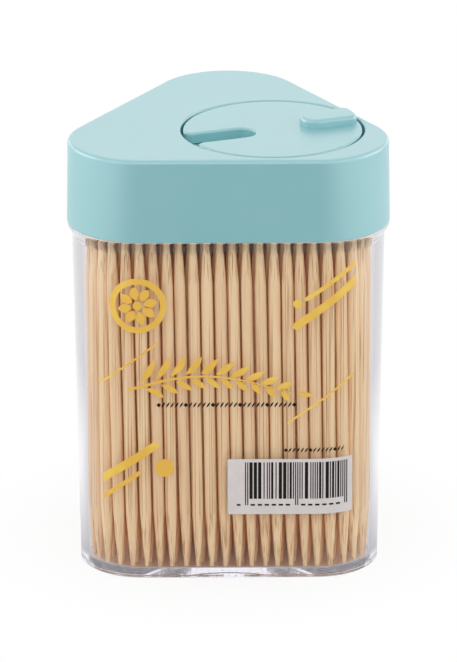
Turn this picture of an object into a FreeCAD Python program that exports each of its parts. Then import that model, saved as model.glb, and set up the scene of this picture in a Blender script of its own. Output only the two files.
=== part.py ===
"""Toothpick dispenser with a rounded-triangle plan.

A clear canister full of double-pointed toothpicks, closed by a push-on lid. A dial is snapped
into a round recess of the lid. Turning the dial brings its notch over a slot in the recess
floor, in the lid's front right corner, and a toothpick slides out when the canister is tipped.

Millimetres. The canister stands on its foot ring at Z = 0 with its flat front towards -Y, and
the origin is under the middle of the plan's bounding box.
"""
import FreeCAD, Part
import math
import os

import Sketcher
from FreeCAD import Placement, Rotation, Vector

UP = Vector(0, 0, 1)
STEP_FOLDER = "parts"
OVERRUN = "0.5"  # how far a cut runs past the face where it comes out
CORNERS = 3
TURN = 360 / CORNERS  # degrees from one corner to the next

SIZES = (
    ("corner_spacing", 30.9, "between the centres of neighbouring corner arcs"),
    ("lid_top_radius", 13.25, "lid's outer corner radius at the top"),
    ("lid_flare", 0.27, "lid's rim beyond its top"),
    ("collar_setback", 0.16, "canister's shoulder inside the lid's rim"),
    ("collar_overhang", 0.76, "shoulder beyond the wall under the collar"),
    ("wall_lean", 1.03, "wall under the collar beyond the foot"),
    ("wall_thickness", 1.4, "side wall at the floor"),
    ("floor_thickness", 1.5, "floor's upper face above the ground"),
    ("foot_depth", 0.5, "hollow under the floor"),
    ("foot_width", 2.0, "foot ring around that hollow"),
    ("foot_fillet", 0.6, "rounding of the bottom edge"),
    ("foot_notch_width", 3.6, "notch in the front of the foot ring"),
    ("foot_notch_offset", 0.8, "notch's middle, right of the front's middle"),
    ("shoulder_height", 64.78, "shoulder that stops the lid"),
    ("collar_height", 2.5, "flare under the shoulder"),
    ("neck_height", 7.2, "neck above the shoulder"),
    ("neck_thickness", 0.95, "neck wall at the mouth"),
    ("lid_gap", 0.12, "shoulder to the lid's rim"),
    ("lid_clearance", 0.25, "neck to the lid's skirt"),
    ("lid_height", 15.3, "rim to top face"),
    ("lid_edge_fillet", 0.7, "rounding of the top edge"),
    ("skirt_thickness", 1.3, "skirt at the rim"),
    ("roof_thickness", 1.3, "lid's top wall"),
    ("dial_radius", 16.12, "plate of the dial"),
    ("dial_thickness", 2.0, "plate of the dial, top to underside"),
    ("dial_rim_gap", 0.4, "dial to the wall of its recess"),
    ("dial_floor_gap", 0.15, "dial to the floor of its recess"),
    ("dial_front_margin", 1.61, "recess to the lid's front face"),
    ("dial_side_margin", 0.76, "recess to the lid's right face"),
    ("dial_angle", 20.0, "grip's direction from +X in the closed position, degrees"),
    ("recess_floor", 1.3, "floor under the dial"),
    ("edge_round", 0.3, "rounding of the dial's upper edge"),
    ("notch_width", 5.4, "between the notch's straight sides"),
    ("notch_start", 3.45, "notch's inner end from the dial's axis"),
    ("notch_mouth_fillet", 0.7, "rounding of the notch's mouth at the rim"),
    ("grip_width", 5.8, "between the grip's straight sides"),
    ("grip_start", 5.4, "grip's inner end from the dial's axis"),
    ("grip_height", 1.6, "grip above the dial's face"),
    ("grip_inset", 0.5, "grip's outer end to the dial's rim"),
    ("grip_fillet", 0.7, "rounding of the grip's top edge"),
    ("stem_radius", 2.4, "snap stem under the dial"),
    ("stem_clearance", 0.08, "stem to its hole"),
    ("catch_overhang", 0.7, "catch beyond the stem"),
    ("catch_height", 1.0, "catch at the stem's end"),
    ("catch_gap", 0.15, "catch to the recess floor's underside"),
    ("slit_width", 0.8, "slit that lets the stem spring"),
    ("slot_width", 5.7, "dispensing slot in the recess floor"),
    ("slot_start", 5.0, "slot's inner end from the dial's axis"),
    ("slot_end", 15.6, "slot's outer end from the dial's axis"),
    ("slot_angle", -30.0, "slot's direction from +X, degrees"),
    ("label_left", 0.3, "label's left edge, left of the front's middle"),
    ("label_length", 22.8, "along the wall, round the right corner"),
    ("label_bottom", 12.5, "above the ground"),
    ("label_height", 10.7, "lower edge to upper edge"),
    ("label_thickness", 0.12, "paper"),
    ("label_gap", 0.02, "glue under the label"),
    ("pick_length", 65.0, "toothpick, tip to tip"),
    ("pick_diameter", 2.2, "shaft"),
    ("pick_tip_diameter", 0.78, "blunt end"),
    ("pick_taper", 11.0, "pointed length at each end"),
    ("pick_pitch", 2.36, "least spacing along a layer"),
    ("layer_pitch", 2.25, "spacing of the layers"),
    ("pick_wall_gap", 0.05, "outer layer to the wall"),
)

HALF_DEPTH = "Sizes.corner_spacing * sqrt(3) / 4"
HALF_SPACING = "Sizes.corner_spacing / 2"
COLLAR_START = "(Sizes.shoulder_height - Sizes.collar_height)"
RIM_RADIUS = "(Sizes.lid_top_radius + Sizes.lid_flare)"
COLLAR_RADIUS = f"({RIM_RADIUS} - Sizes.collar_setback)"
WALL_RADIUS = f"({COLLAR_RADIUS} - Sizes.collar_overhang)"
BASE_RADIUS = f"({WALL_RADIUS} - Sizes.wall_lean)"
CAVITY_BASE_RADIUS = f"({BASE_RADIUS} - Sizes.wall_thickness)"
SKIRT_INSIDE_RADIUS = f"({RIM_RADIUS} - Sizes.skirt_thickness)"
NECK_RADIUS = f"({SKIRT_INSIDE_RADIUS} - Sizes.lid_clearance)"
CAVITY_TOP_RADIUS = f"({NECK_RADIUS} - Sizes.neck_thickness)"
MOUTH_HEIGHT = "(Sizes.shoulder_height + Sizes.neck_height)"
RIM_HEIGHT = "(Sizes.shoulder_height + Sizes.lid_gap)"
TOP_HEIGHT = f"({RIM_HEIGHT} + Sizes.lid_height)"
RECESS_RADIUS = "(Sizes.dial_radius + Sizes.dial_rim_gap)"
RECESS_DEPTH = "(Sizes.dial_thickness + Sizes.dial_floor_gap)"
BOSS_RADIUS = f"({RECESS_RADIUS} + Sizes.dial_side_margin)"
BOSS_HEIGHT = f"({RECESS_DEPTH} + Sizes.recess_floor)"
STEM_LENGTH = "(Sizes.dial_floor_gap + Sizes.recess_floor + Sizes.catch_gap + Sizes.catch_height)"
AXIS_Y = f"({RECESS_RADIUS} + Sizes.dial_front_margin - Sizes.lid_top_radius - {HALF_DEPTH})"
SIDE_FACE = f"({HALF_SPACING} * cos(30) - {HALF_DEPTH} * sin(30) + Sizes.lid_top_radius)"
AXIS_X = f"(({SIDE_FACE} - Sizes.dial_side_margin - {RECESS_RADIUS} - {AXIS_Y} * sin(30)) / cos(30))"


# ---------------------------------------------------------------- sheet and small helpers

def add_sheet(doc):
    """Write the driving sizes, one row each: what it is, its value under its alias."""
    sheet = doc.addObject("Spreadsheet::Sheet", "Sizes")
    for row, (alias, value, note) in enumerate(SIZES, start=1):
        sheet.set(f"A{row}", note)
        sheet.set(f"B{row}", str(value))
        sheet.setAlias(f"B{row}", alias)
    doc.recompute()
    return sheet


def number(expression):
    """Value of an expression over the sheet."""
    result = FreeCAD.ActiveDocument.Sizes.evalExpression(expression)
    return float(getattr(result, "Value", result))


def bind(thing, **expressions):
    """Bind properties of an object to expressions; two underscores stand for a dot."""
    for name, expression in expressions.items():
        thing.setExpression(name.replace("__", "."), expression)


def wall_radius_at(height):
    """Expression for the canister's outer corner radius at a height under the collar."""
    return f"({BASE_RADIUS} + Sizes.wall_lean * ({height}) / {COLLAR_START})"


def origin_plane(body, role):
    """One of a body's own origin planes."""
    return next(plane for plane in body.Origin.OriginFeatures if plane.Role == role)


def body_sketch(body, name, height="0"):
    """Empty horizontal sketch of a body, at a height given as an expression."""
    sketch = body.newObject("Sketcher::SketchObject", name)
    sketch.AttachmentSupport = [(origin_plane(body, "XY_Plane"), "")]
    sketch.MapMode = "FlatFace"
    bind(sketch, AttachmentOffset__Base__z=height)
    return sketch


def free_sketch(doc, name, height):
    """Empty horizontal sketch outside any body, at a height given as an expression."""
    sketch = doc.addObject("Sketcher::SketchObject", name)
    bind(sketch, Placement__Base__z=height)
    return sketch


def constrain(sketch, name, expression, kind, *references):
    """Add a constraint with a size that follows an expression."""
    index = sketch.addConstraint(Sketcher.Constraint(kind, *references, number(expression)))
    sketch.renameConstraint(index, name)
    bind(sketch, **{f"Constraints__{name}": expression})


# ---------------------------------------------------------------- sketch outlines

def draw_rounded_triangle(sketch, radius):
    """Three equal corner arcs joined by tangent lines, front left, front right and back."""
    half_spacing = number(HALF_SPACING)
    half_depth = number(HALF_DEPTH)
    centres = ((-half_spacing, -half_depth), (half_spacing, -half_depth), (0, half_depth))
    arcs = []
    for corner, (x, y) in enumerate(centres):
        circle = Part.Circle(Vector(x, y, 0), UP, number(radius))
        start = math.radians(150 + TURN * corner)
        arcs.append(Part.ArcOfCircle(circle, start, start + math.radians(TURN)))
    following = [(corner + 1) % CORNERS for corner in range(CORNERS)]
    lines = [Part.LineSegment(arc.EndPoint, arcs[other].StartPoint) for arc, other in zip(arcs, following)]
    sketch.addGeometry(arcs + lines, False)
    for corner, other in enumerate(following):
        line = CORNERS + corner
        sketch.addConstraint(Sketcher.Constraint("Tangent", corner, 2, line, 1))
        sketch.addConstraint(Sketcher.Constraint("Tangent", line, 2, other, 1))
    sketch.addConstraint(Sketcher.Constraint("Equal", 0, 1))
    sketch.addConstraint(Sketcher.Constraint("Equal", 1, 2))
    sketch.addConstraint(Sketcher.Constraint("Symmetric", 0, 3, 1, 3, -2))
    sketch.addConstraint(Sketcher.Constraint("PointOnObject", 2, 3, -2))
    constrain(sketch, "radius", radius, "Radius", 0)
    constrain(sketch, "spacing", "Sizes.corner_spacing", "DistanceX", 0, 3, 1, 3)
    constrain(sketch, "front", HALF_DEPTH, "DistanceY", 0, 3, -1, 1)
    constrain(sketch, "back", HALF_DEPTH, "DistanceY", -1, 1, 2, 3)


def draw_circle(sketch, radius):
    """Circle about the sketch's origin."""
    sketch.addGeometry(Part.Circle(Vector(0, 0, 0), UP, number(radius)), False)
    sketch.addConstraint(Sketcher.Constraint("Coincident", 0, 3, -1, 1))
    constrain(sketch, "radius", radius, "Radius", 0)


def draw_rectangle(sketch, left, right, low, high):
    """Rectangle given by expressions for its four sides, measured from the origin."""
    x0, x1, y0, y1 = (number(side) for side in (left, right, low, high))
    corners = [Vector(x0, y0, 0), Vector(x1, y0, 0), Vector(x1, y1, 0), Vector(x0, y1, 0)]
    sketch.addGeometry([Part.LineSegment(corners[i], corners[(i + 1) % 4]) for i in range(4)], False)
    for side in range(4):
        sketch.addConstraint(Sketcher.Constraint("Coincident", side, 2, (side + 1) % 4, 1))
        sketch.addConstraint(Sketcher.Constraint("Horizontal" if side % 2 == 0 else "Vertical", side))
    constrain(sketch, "left", left, "DistanceX", -1, 1, 0, 1)
    constrain(sketch, "right", right, "DistanceX", -1, 1, 1, 1)
    constrain(sketch, "low", low, "DistanceY", -1, 1, 0, 1)
    constrain(sketch, "high", high, "DistanceY", -1, 1, 2, 1)


def draw_finger(sketch, start, width, end_radius):
    """Finger along +X: a half-round inner end and an outer end on a circle about the origin."""
    half_width = number(width) / 2
    round_x = number(start) + half_width
    reach = number(end_radius)
    mouth_angle = math.asin(half_width / reach)
    inner = Part.ArcOfCircle(Part.Circle(Vector(round_x, 0, 0), UP, half_width), math.pi / 2, math.pi * 1.5)
    outer = Part.ArcOfCircle(Part.Circle(Vector(0, 0, 0), UP, reach), -mouth_angle, mouth_angle)
    lower = Part.LineSegment(inner.EndPoint, outer.StartPoint)
    upper = Part.LineSegment(outer.EndPoint, inner.StartPoint)
    sketch.addGeometry([inner, lower, outer, upper], False)
    sketch.addConstraint(Sketcher.Constraint("Tangent", 0, 2, 1, 1))
    sketch.addConstraint(Sketcher.Constraint("Coincident", 1, 2, 2, 1))
    sketch.addConstraint(Sketcher.Constraint("Coincident", 2, 2, 3, 1))
    sketch.addConstraint(Sketcher.Constraint("Tangent", 3, 2, 0, 1))
    sketch.addConstraint(Sketcher.Constraint("Coincident", 2, 3, -1, 1))
    sketch.addConstraint(Sketcher.Constraint("Horizontal", 1))
    sketch.addConstraint(Sketcher.Constraint("PointOnObject", 0, 3, -1))
    constrain(sketch, "round", f"{width} / 2", "Radius", 0)
    constrain(sketch, "reach", end_radius, "Radius", 2)
    constrain(sketch, "start", f"{start} + {width} / 2", "DistanceX", -1, 1, 0, 3)


def draw_slot(sketch, start, end, width):
    """Slot along +X with half-round ends."""
    half_width = number(width) / 2
    x0 = number(start) + half_width
    x1 = number(end) - half_width
    inner = Part.ArcOfCircle(Part.Circle(Vector(x0, 0, 0), UP, half_width), math.pi / 2, math.pi * 1.5)
    outer = Part.ArcOfCircle(Part.Circle(Vector(x1, 0, 0), UP, half_width), -math.pi / 2, math.pi / 2)
    lower = Part.LineSegment(inner.EndPoint, outer.StartPoint)
    upper = Part.LineSegment(outer.EndPoint, inner.StartPoint)
    sketch.addGeometry([inner, lower, outer, upper], False)
    for first, second in ((0, 1), (1, 2), (2, 3), (3, 0)):
        sketch.addConstraint(Sketcher.Constraint("Tangent", first, 2, second, 1))
    sketch.addConstraint(Sketcher.Constraint("PointOnObject", 0, 3, -1))
    sketch.addConstraint(Sketcher.Constraint("Horizontal", 1))
    constrain(sketch, "round", f"{width} / 2", "Radius", 0)
    constrain(sketch, "start", f"{start} + {width} / 2", "DistanceX", -1, 1, 0, 3)
    constrain(sketch, "end", f"{end} - {width} / 2", "DistanceX", -1, 1, 2, 3)


# ---------------------------------------------------------------- body features

def drafted(body, name, low, high, cut=False):
    """Rounded triangle with drafted sides between two (height, radius) pairs of expressions."""
    sketch = body_sketch(body, f"{name}_outline", low[0])
    draw_rounded_triangle(sketch, low[1])
    length = f"({high[0]} - {low[0]})"
    feature = pocket(body, name, sketch, length) if cut else pad(body, name, sketch, length)
    bind(feature, TaperAngle=f"atan(({high[1]} - {low[1]}) / {length})")
    body.Document.recompute()
    return feature


def pad(body, name, sketch, length, down=False):
    """Pad of a sketch, upwards unless told otherwise."""
    feature = body.newObject("PartDesign::Pad", name)
    feature.Profile = sketch
    feature.Reversed = down
    bind(feature, Length=length)
    body.Document.recompute()
    return feature


def pocket(body, name, sketch, length, up=True):
    """Pocket of a sketch, checked to take material away."""
    volume = body.Shape.Volume
    feature = body.newObject("PartDesign::Pocket", name)
    feature.Profile = sketch
    feature.Reversed = up
    bind(feature, Length=length)
    body.Document.recompute()
    if body.Shape.Volume >= volume:
        raise RuntimeError(f"{name} takes nothing away")
    return feature


def fillet(body, name, radius, wanted):
    """Fillet of the edges of the body's last feature for which wanted(edge) is true."""
    base = body.Tip
    edges = [f"Edge{i}" for i, edge in enumerate(base.Shape.Edges, start=1) if wanted(edge)]
    if not edges:
        raise RuntimeError(f"{name} finds no edge")
    feature = body.newObject("PartDesign::Fillet", name)
    feature.Base = (base, edges)
    bind(feature, Radius=radius)
    body.Document.recompute()
    return feature


def is_level(edge, height):
    """True for an edge that lies wholly at a height."""
    box = edge.BoundBox
    return abs(box.ZMin - height) < 1e-4 and abs(box.ZMax - height) < 1e-4


# ---------------------------------------------------------------- canister

def make_canister(doc):
    """Clear drafted canister: foot ring, collar that stops the lid, and a neck inside the lid."""
    body = doc.addObject("PartDesign::Body", "canister")
    drafted(body, "canister_wall", ("0", BASE_RADIUS), (COLLAR_START, WALL_RADIUS))
    drafted(body, "canister_collar", (COLLAR_START, WALL_RADIUS), ("Sizes.shoulder_height", COLLAR_RADIUS))
    neck = body_sketch(body, "canister_neck_outline", "Sizes.shoulder_height")
    draw_rounded_triangle(neck, NECK_RADIUS)
    pad(body, "canister_neck", neck, "Sizes.neck_height")
    fillet(body, "canister_foot_edge", "Sizes.foot_fillet", lambda edge: is_level(edge, 0))
    drafted(body, "canister_cavity", ("Sizes.floor_thickness", CAVITY_BASE_RADIUS),
            (MOUTH_HEIGHT, CAVITY_TOP_RADIUS), cut=True)
    hollow = body_sketch(body, "canister_foot_hollow_outline")
    draw_rounded_triangle(hollow, f"{BASE_RADIUS} - Sizes.foot_width")
    pocket(body, "canister_foot_hollow", hollow, "Sizes.foot_depth")
    notch = body_sketch(body, "canister_foot_notch_outline")
    front = f"-({HALF_DEPTH}) - {BASE_RADIUS}"
    draw_rectangle(notch, "Sizes.foot_notch_offset - Sizes.foot_notch_width / 2",
                   "Sizes.foot_notch_offset + Sizes.foot_notch_width / 2",
                   f"{front} - {OVERRUN}", f"{front} + Sizes.foot_width + {OVERRUN}")
    pocket(body, "canister_foot_notch", notch, "Sizes.foot_depth")
    return body


# ---------------------------------------------------------------- lid

def make_lid(doc):
    """Push-on lid: drafted skirt, top wall, and the dial's recess with its dispensing slot."""
    body = doc.addObject("PartDesign::Body", "lid")
    drafted(body, "lid_outside", (RIM_HEIGHT, RIM_RADIUS), (TOP_HEIGHT, "Sizes.lid_top_radius"))
    fillet(body, "lid_top_edge", "Sizes.lid_edge_fillet", lambda edge: is_level(edge, number(TOP_HEIGHT)))
    inside = body_sketch(body, "lid_inside_outline", RIM_HEIGHT)
    draw_rounded_triangle(inside, SKIRT_INSIDE_RADIUS)
    pocket(body, "lid_inside", inside, "Sizes.lid_height - Sizes.roof_thickness")

    boss = dial_sketch(body, "recess_boss_outline", f"{TOP_HEIGHT} - {BOSS_HEIGHT}")
    draw_circle(boss, BOSS_RADIUS)
    pad(body, "recess_boss", boss, f"{BOSS_HEIGHT} - Sizes.roof_thickness / 2")  # ends inside the top wall
    recess = dial_sketch(body, "recess_outline", TOP_HEIGHT)
    draw_circle(recess, RECESS_RADIUS)
    pocket(body, "recess", recess, RECESS_DEPTH, up=False)
    hole = dial_sketch(body, "stem_hole_outline", TOP_HEIGHT)
    draw_circle(hole, "Sizes.stem_radius + Sizes.stem_clearance")
    pocket(body, "stem_hole", hole, f"{BOSS_HEIGHT} + {OVERRUN}", up=False)
    slot = dial_sketch(body, "dispensing_slot_outline", TOP_HEIGHT, "Sizes.slot_angle")
    draw_slot(slot, "Sizes.slot_start", "Sizes.slot_end", "Sizes.slot_width")
    pocket(body, "dispensing_slot", slot, f"{BOSS_HEIGHT} + {OVERRUN}", up=False)
    return body


def dial_sketch(body, name, height, angle="0"):
    """Horizontal sketch about the dial's axis, turned by an angle in degrees."""
    sketch = body_sketch(body, name, height)
    sketch.AttachmentOffset = Placement(Vector(0, 0, 0), Rotation(UP, number(angle)))
    bind(sketch, AttachmentOffset__Base__x=AXIS_X, AttachmentOffset__Base__y=AXIS_Y,
         AttachmentOffset__Base__z=height, AttachmentOffset__Rotation__Angle=angle)
    return sketch


# ---------------------------------------------------------------- dial

def make_dial(doc):
    """Dial with a notch towards -X and a grip towards +X of its own frame, on a split snap stem.

    Its own frame has the dial's top face at Z = 0; the body's placement turns and lifts it.
    """
    body = doc.addObject("PartDesign::Body", "dial")
    plate = body_sketch(body, "dial_plate_outline", "-Sizes.dial_thickness")
    draw_circle(plate, "Sizes.dial_radius")
    pad(body, "dial_plate", plate, "Sizes.dial_thickness")
    notch = body_sketch(body, "dial_notch_outline")
    notch.AttachmentOffset = Placement(Vector(0, 0, 0), Rotation(UP, 180))
    draw_finger(notch, "Sizes.notch_start", "Sizes.notch_width", f"(Sizes.dial_radius + {OVERRUN})")
    pocket(body, "dial_notch", notch, f"Sizes.dial_thickness + {OVERRUN}", up=False)
    fillet(body, "notch_mouth", "Sizes.notch_mouth_fillet", is_notch_mouth)
    fillet(body, "dial_edge", "Sizes.edge_round", lambda edge: is_level(edge, 0))

    stem = body_sketch(body, "stem_outline", "-Sizes.dial_thickness")
    draw_circle(stem, "Sizes.stem_radius")
    pad(body, "stem", stem, STEM_LENGTH, down=True)
    catch_bottom = f"-Sizes.dial_thickness - {STEM_LENGTH}"
    catch = body_sketch(body, "catch_outline", catch_bottom)
    draw_circle(catch, "Sizes.stem_radius + Sizes.catch_overhang")
    pad(body, "catch", catch, "Sizes.catch_height")
    fillet(body, "catch_lead_in", "Sizes.catch_overhang / 2",
           lambda edge: is_level(edge, number(catch_bottom)))
    slit = body_sketch(body, "slit_outline", catch_bottom)
    reach = f"(Sizes.stem_radius + Sizes.catch_overhang + {OVERRUN})"
    draw_rectangle(slit, "-Sizes.slit_width / 2", "Sizes.slit_width / 2", f"-{reach}", reach)
    pocket(body, "slit", slit, f"{STEM_LENGTH} - Sizes.dial_floor_gap")

    grip = body_sketch(body, "grip_outline", "-Sizes.dial_thickness / 2")
    draw_finger(grip, "Sizes.grip_start", "Sizes.grip_width", "Sizes.dial_radius - Sizes.grip_inset")
    pad(body, "grip", grip, "Sizes.dial_thickness / 2 + Sizes.grip_height")
    grip_top = number("Sizes.grip_height")
    fillet(body, "grip_top_edge", "Sizes.grip_fillet", lambda edge: is_level(edge, grip_top))

    body.Placement = Placement(Vector(0, 0, 0), Rotation(UP, number("Sizes.dial_angle")))
    bind(body, Placement__Base__x=AXIS_X, Placement__Base__y=AXIS_Y, Placement__Base__z=TOP_HEIGHT,
         Placement__Rotation__Angle="Sizes.dial_angle")
    return body


def is_notch_mouth(edge):
    """True for the two upright edges where the notch meets the dial's rim."""
    box = edge.BoundBox
    half_width = number("Sizes.notch_width / 2")
    upright = box.ZLength > number("Sizes.dial_thickness") * 0.99 and box.XLength < 1e-4
    at_notch = abs(abs(box.YMin) - half_width) < 1e-3
    return upright and at_notch and box.XMax < -number("Sizes.dial_radius / 2")


# ---------------------------------------------------------------- label

def make_label(doc):
    """Paper label on the canister's outer wall, from the front's middle round the right corner."""
    top = "Sizes.label_bottom + Sizes.label_height"
    heights = ("Sizes.label_bottom", top)
    paper = []
    for side, lift in (("outside", "Sizes.label_gap + Sizes.label_thickness"), ("inside", "Sizes.label_gap")):
        sketches = []
        for place, height in enumerate(heights):
            sketch = free_sketch(doc, f"label_{side}_{place}", height)
            draw_rounded_triangle(sketch, f"{wall_radius_at(height)} + {lift}")
            sketches.append(sketch)
        shell = doc.addObject("Part::Loft", f"label_{side}")
        shell.Sections = sketches
        shell.Solid = True
        shell.Ruled = True
        paper.append(shell)
    ring = doc.addObject("Part::Cut", "label_ring")
    ring.Base, ring.Tool = paper

    reach = f"({WALL_RADIUS} + {COLLAR_RADIUS})"
    flat = doc.addObject("Part::Box", "label_flat_window")
    bind(flat, Length=f"Sizes.label_left + {HALF_SPACING}", Width=reach, Height="Sizes.label_height",
         Placement__Base__x="-Sizes.label_left", Placement__Base__y=f"-({HALF_DEPTH}) - {reach}",
         Placement__Base__z="Sizes.label_bottom")
    bend = f"(Sizes.label_length - Sizes.label_left - {HALF_SPACING})"
    corner = doc.addObject("Part::Cylinder", "label_corner_window")
    corner.Placement = Placement(Vector(0, 0, 0), Rotation(UP, -90))
    bind(corner, Radius=reach, Height="Sizes.label_height",
         Angle=f"{bend} / {wall_radius_at('Sizes.label_bottom')} * 180 / pi",
         Placement__Base__x=HALF_SPACING, Placement__Base__y=f"-({HALF_DEPTH})",
         Placement__Base__z="Sizes.label_bottom")
    window = doc.addObject("Part::Fuse", "label_window")
    window.Base = flat
    window.Tool = corner
    label = doc.addObject("Part::Common", "label")
    label.Base = ring
    label.Tool = window
    return label


# ---------------------------------------------------------------- toothpicks

def make_centre_toothpick(doc):
    """Double-pointed toothpick, upright on the floor in the middle of the canister."""
    radius = "Sizes.pick_diameter / 2"
    tip = "Sizes.pick_tip_diameter / 2"
    swell = f"({radius} - ({radius} - {tip}) / 4)"
    half = "Sizes.pick_taper / 2"
    stretches = (
        ("tip_below", tip, swell, half, "0"),
        ("taper_below", swell, radius, half, half),
        ("shaft", radius, radius, "Sizes.pick_length - 2 * Sizes.pick_taper", "Sizes.pick_taper"),
        ("taper_above", radius, swell, half, "Sizes.pick_length - Sizes.pick_taper"),
        ("tip_above", swell, tip, half, f"Sizes.pick_length - {half}"),
    )
    pieces = []
    for name, low_radius, high_radius, length, height in stretches:
        if low_radius == high_radius:
            piece = doc.addObject("Part::Cylinder", f"toothpick_{name}")
            bind(piece, Radius=radius)
        else:
            piece = doc.addObject("Part::Cone", f"toothpick_{name}")
            bind(piece, Radius1=low_radius, Radius2=high_radius)
        bind(piece, Height=length, Placement__Base__z=height)
        pieces.append(piece)
    pick = doc.addObject("Part::MultiFuse", "toothpick_centre")
    pick.Shapes = pieces
    bind(pick, Placement__Base__y=f"-({HALF_DEPTH}) / 3", Placement__Base__z="Sizes.floor_thickness")
    doc.recompute()
    return pick


def layer_point(offset, distance):
    """Point on the front third of a layer, a distance along it from its front left corner.

    A layer is the outline at an offset from the triangle of corner centres. Outside that
    triangle its corners are arcs; inside it they are sharp.
    """
    centre = Vector(-number(HALF_SPACING), -number(HALF_DEPTH), 0)
    spacing = number("Sizes.corner_spacing")
    radius = max(offset, 0)
    half_arc = radius * math.pi / 3
    if distance < half_arc:
        angle = math.radians(210) + distance / radius
        return centre + Vector(math.cos(angle), math.sin(angle), 0) * radius
    inset = -math.sqrt(3) * min(offset, 0)
    straight = spacing - 2 * inset
    along = distance - half_arc
    if along <= straight:
        return centre + Vector(inset + along, -offset, 0)
    angle = math.radians(270) + (along - straight) / radius
    return centre + Vector(spacing, 0, 0) + Vector(math.cos(angle), math.sin(angle), 0) * radius


def third_length(offset):
    """Length of a third of a layer, from corner to corner."""
    straight = number("Sizes.corner_spacing") + 2 * math.sqrt(3) * min(offset, 0)
    return straight + math.radians(TURN) * max(offset, 0)


def outer_layer_offset():
    """Offset of the outer layer, set by the narrowest part of the cavity along the picks' shafts."""
    depth = f"({MOUTH_HEIGHT} - Sizes.floor_thickness)"
    widening = number(f"({CAVITY_TOP_RADIUS} - {CAVITY_BASE_RADIUS}) / {depth}")
    shaft_ends = (number("Sizes.pick_taper"), number("Sizes.pick_length - Sizes.pick_taper"))
    wall = min(number(CAVITY_BASE_RADIUS) + widening * rise for rise in shaft_ends)
    return wall - number("Sizes.pick_diameter / 2 + Sizes.pick_wall_gap")


def distance_from_middle(offset):
    """Distance from the middle of the plan to the straight part of a layer."""
    return number(f"{HALF_DEPTH} * (2 / 3)") + offset


def stagger(layer, offset):
    """Share of a step by which a layer is shifted along itself.

    Every second layer stands opposite the gaps of the layer outside it, where its corners are
    arcs wide enough for two toothpicks side by side.
    """
    return 0.5 if layer % 2 == 0 and offset > number("Sizes.pick_diameter") else 0


def make_toothpick_layers(doc, pick):
    """Layers that follow the wall, each in three nodes: the front, right and left thirds.

    The innermost one is at least a layer's pitch from the toothpick in the middle.
    """
    middle = pick.Placement.Base
    offset = outer_layer_offset()
    layer = 1
    groups = []
    while distance_from_middle(offset) >= number("Sizes.layer_pitch"):
        count = int(third_length(offset) / number("Sizes.pick_pitch"))
        step = third_length(offset) / count
        shift = stagger(layer, offset)
        for turn, side in enumerate(("front", "right", "left")):
            rotation = Rotation(UP, TURN * turn)
            copies = []
            for place in range(count):
                point = layer_point(offset, (place + shift) * step) - Vector(middle.x, middle.y, 0)
                copy = pick.Shape.copy()
                copy.translate(rotation.multVec(point))
                copies.append(copy)
            group = doc.addObject("Part::Feature", f"toothpicks_{side}_{layer}")
            group.Shape = Part.Compound(copies)
            groups.append(group)
        offset -= number("Sizes.layer_pitch")
        layer += 1
    return groups


# ---------------------------------------------------------------- document

def check(doc, nodes):
    """Stop on any failed object or any sub-part without a valid shape."""
    for thing in doc.Objects:
        if "Invalid" in thing.State or "Error" in thing.State:
            raise RuntimeError(f"{thing.Name} failed: {thing.State}")
    for node in nodes:
        if node.Shape.isNull() or not node.Shape.isValid():
            raise RuntimeError(f"{node.Label} has no valid shape")


def main():
    """Build the document, check it and write one STEP file for each sub-part."""
    doc = FreeCAD.newDocument("toothpick_dispenser")
    add_sheet(doc)
    pick = make_centre_toothpick(doc)
    nodes = [make_canister(doc), make_lid(doc), make_dial(doc), make_label(doc), pick]
    nodes += make_toothpick_layers(doc, pick)
    doc.recompute()
    check(doc, nodes)
    os.makedirs(STEP_FOLDER, exist_ok=True)
    for node in nodes:
        node.Shape.exportStep(f"{STEP_FOLDER}/{node.Label}.step")
        box = node.Shape.BoundBox
        print(f"{node.Label}: {len(node.Shape.Solids)} solid(s), volume {node.Shape.Volume:.1f} mm3, "
              f"X {box.XMin:.2f} to {box.XMax:.2f}, Y {box.YMin:.2f} to {box.YMax:.2f}, "
              f"Z {box.ZMin:.2f} to {box.ZMax:.2f}")


main()
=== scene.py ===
"""Looks of a toothpick dispenser: a clear canister of bamboo toothpicks under a mint lid with a dial.

Sizes are in millimetres, in the frame of the solids: +Z up, the flat front towards -Y, the origin
on the ground under the middle of the plan. A mesh is brought to metres when it becomes a piece.
"""
import logging
import math
import random
from collections.abc import Iterable, Sequence
from dataclasses import dataclass, field
from enum import Enum

import bmesh
import bpy
from bmesh.types import BMEdge, BMesh, BMFace, BMVert
from mathutils import Matrix, Vector


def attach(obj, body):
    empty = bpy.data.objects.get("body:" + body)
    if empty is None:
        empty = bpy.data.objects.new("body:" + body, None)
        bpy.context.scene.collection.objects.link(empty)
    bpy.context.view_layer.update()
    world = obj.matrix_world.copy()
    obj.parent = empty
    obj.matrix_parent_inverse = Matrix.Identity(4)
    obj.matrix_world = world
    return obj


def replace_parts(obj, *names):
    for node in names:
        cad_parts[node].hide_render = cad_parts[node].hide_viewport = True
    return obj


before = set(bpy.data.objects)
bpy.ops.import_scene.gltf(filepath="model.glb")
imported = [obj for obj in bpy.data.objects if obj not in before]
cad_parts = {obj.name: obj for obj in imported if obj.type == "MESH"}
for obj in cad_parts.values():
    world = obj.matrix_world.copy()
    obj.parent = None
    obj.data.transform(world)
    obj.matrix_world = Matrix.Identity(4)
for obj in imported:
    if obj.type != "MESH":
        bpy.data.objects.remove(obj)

LOG = logging.getLogger("toothpick_dispenser")
IMAGE_WIDTH, IMAGE_HEIGHT = 457, 662
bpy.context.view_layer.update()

MILLIMETRE = 0.001
UP = Vector((0, 0, 1))
CORNERS = 3
CORNER_TURN = math.tau / CORNERS
DIAL_AXIS = (7.979, -8.5)
TONE = "tone"           # attribute that holds each toothpick's own tone
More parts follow.
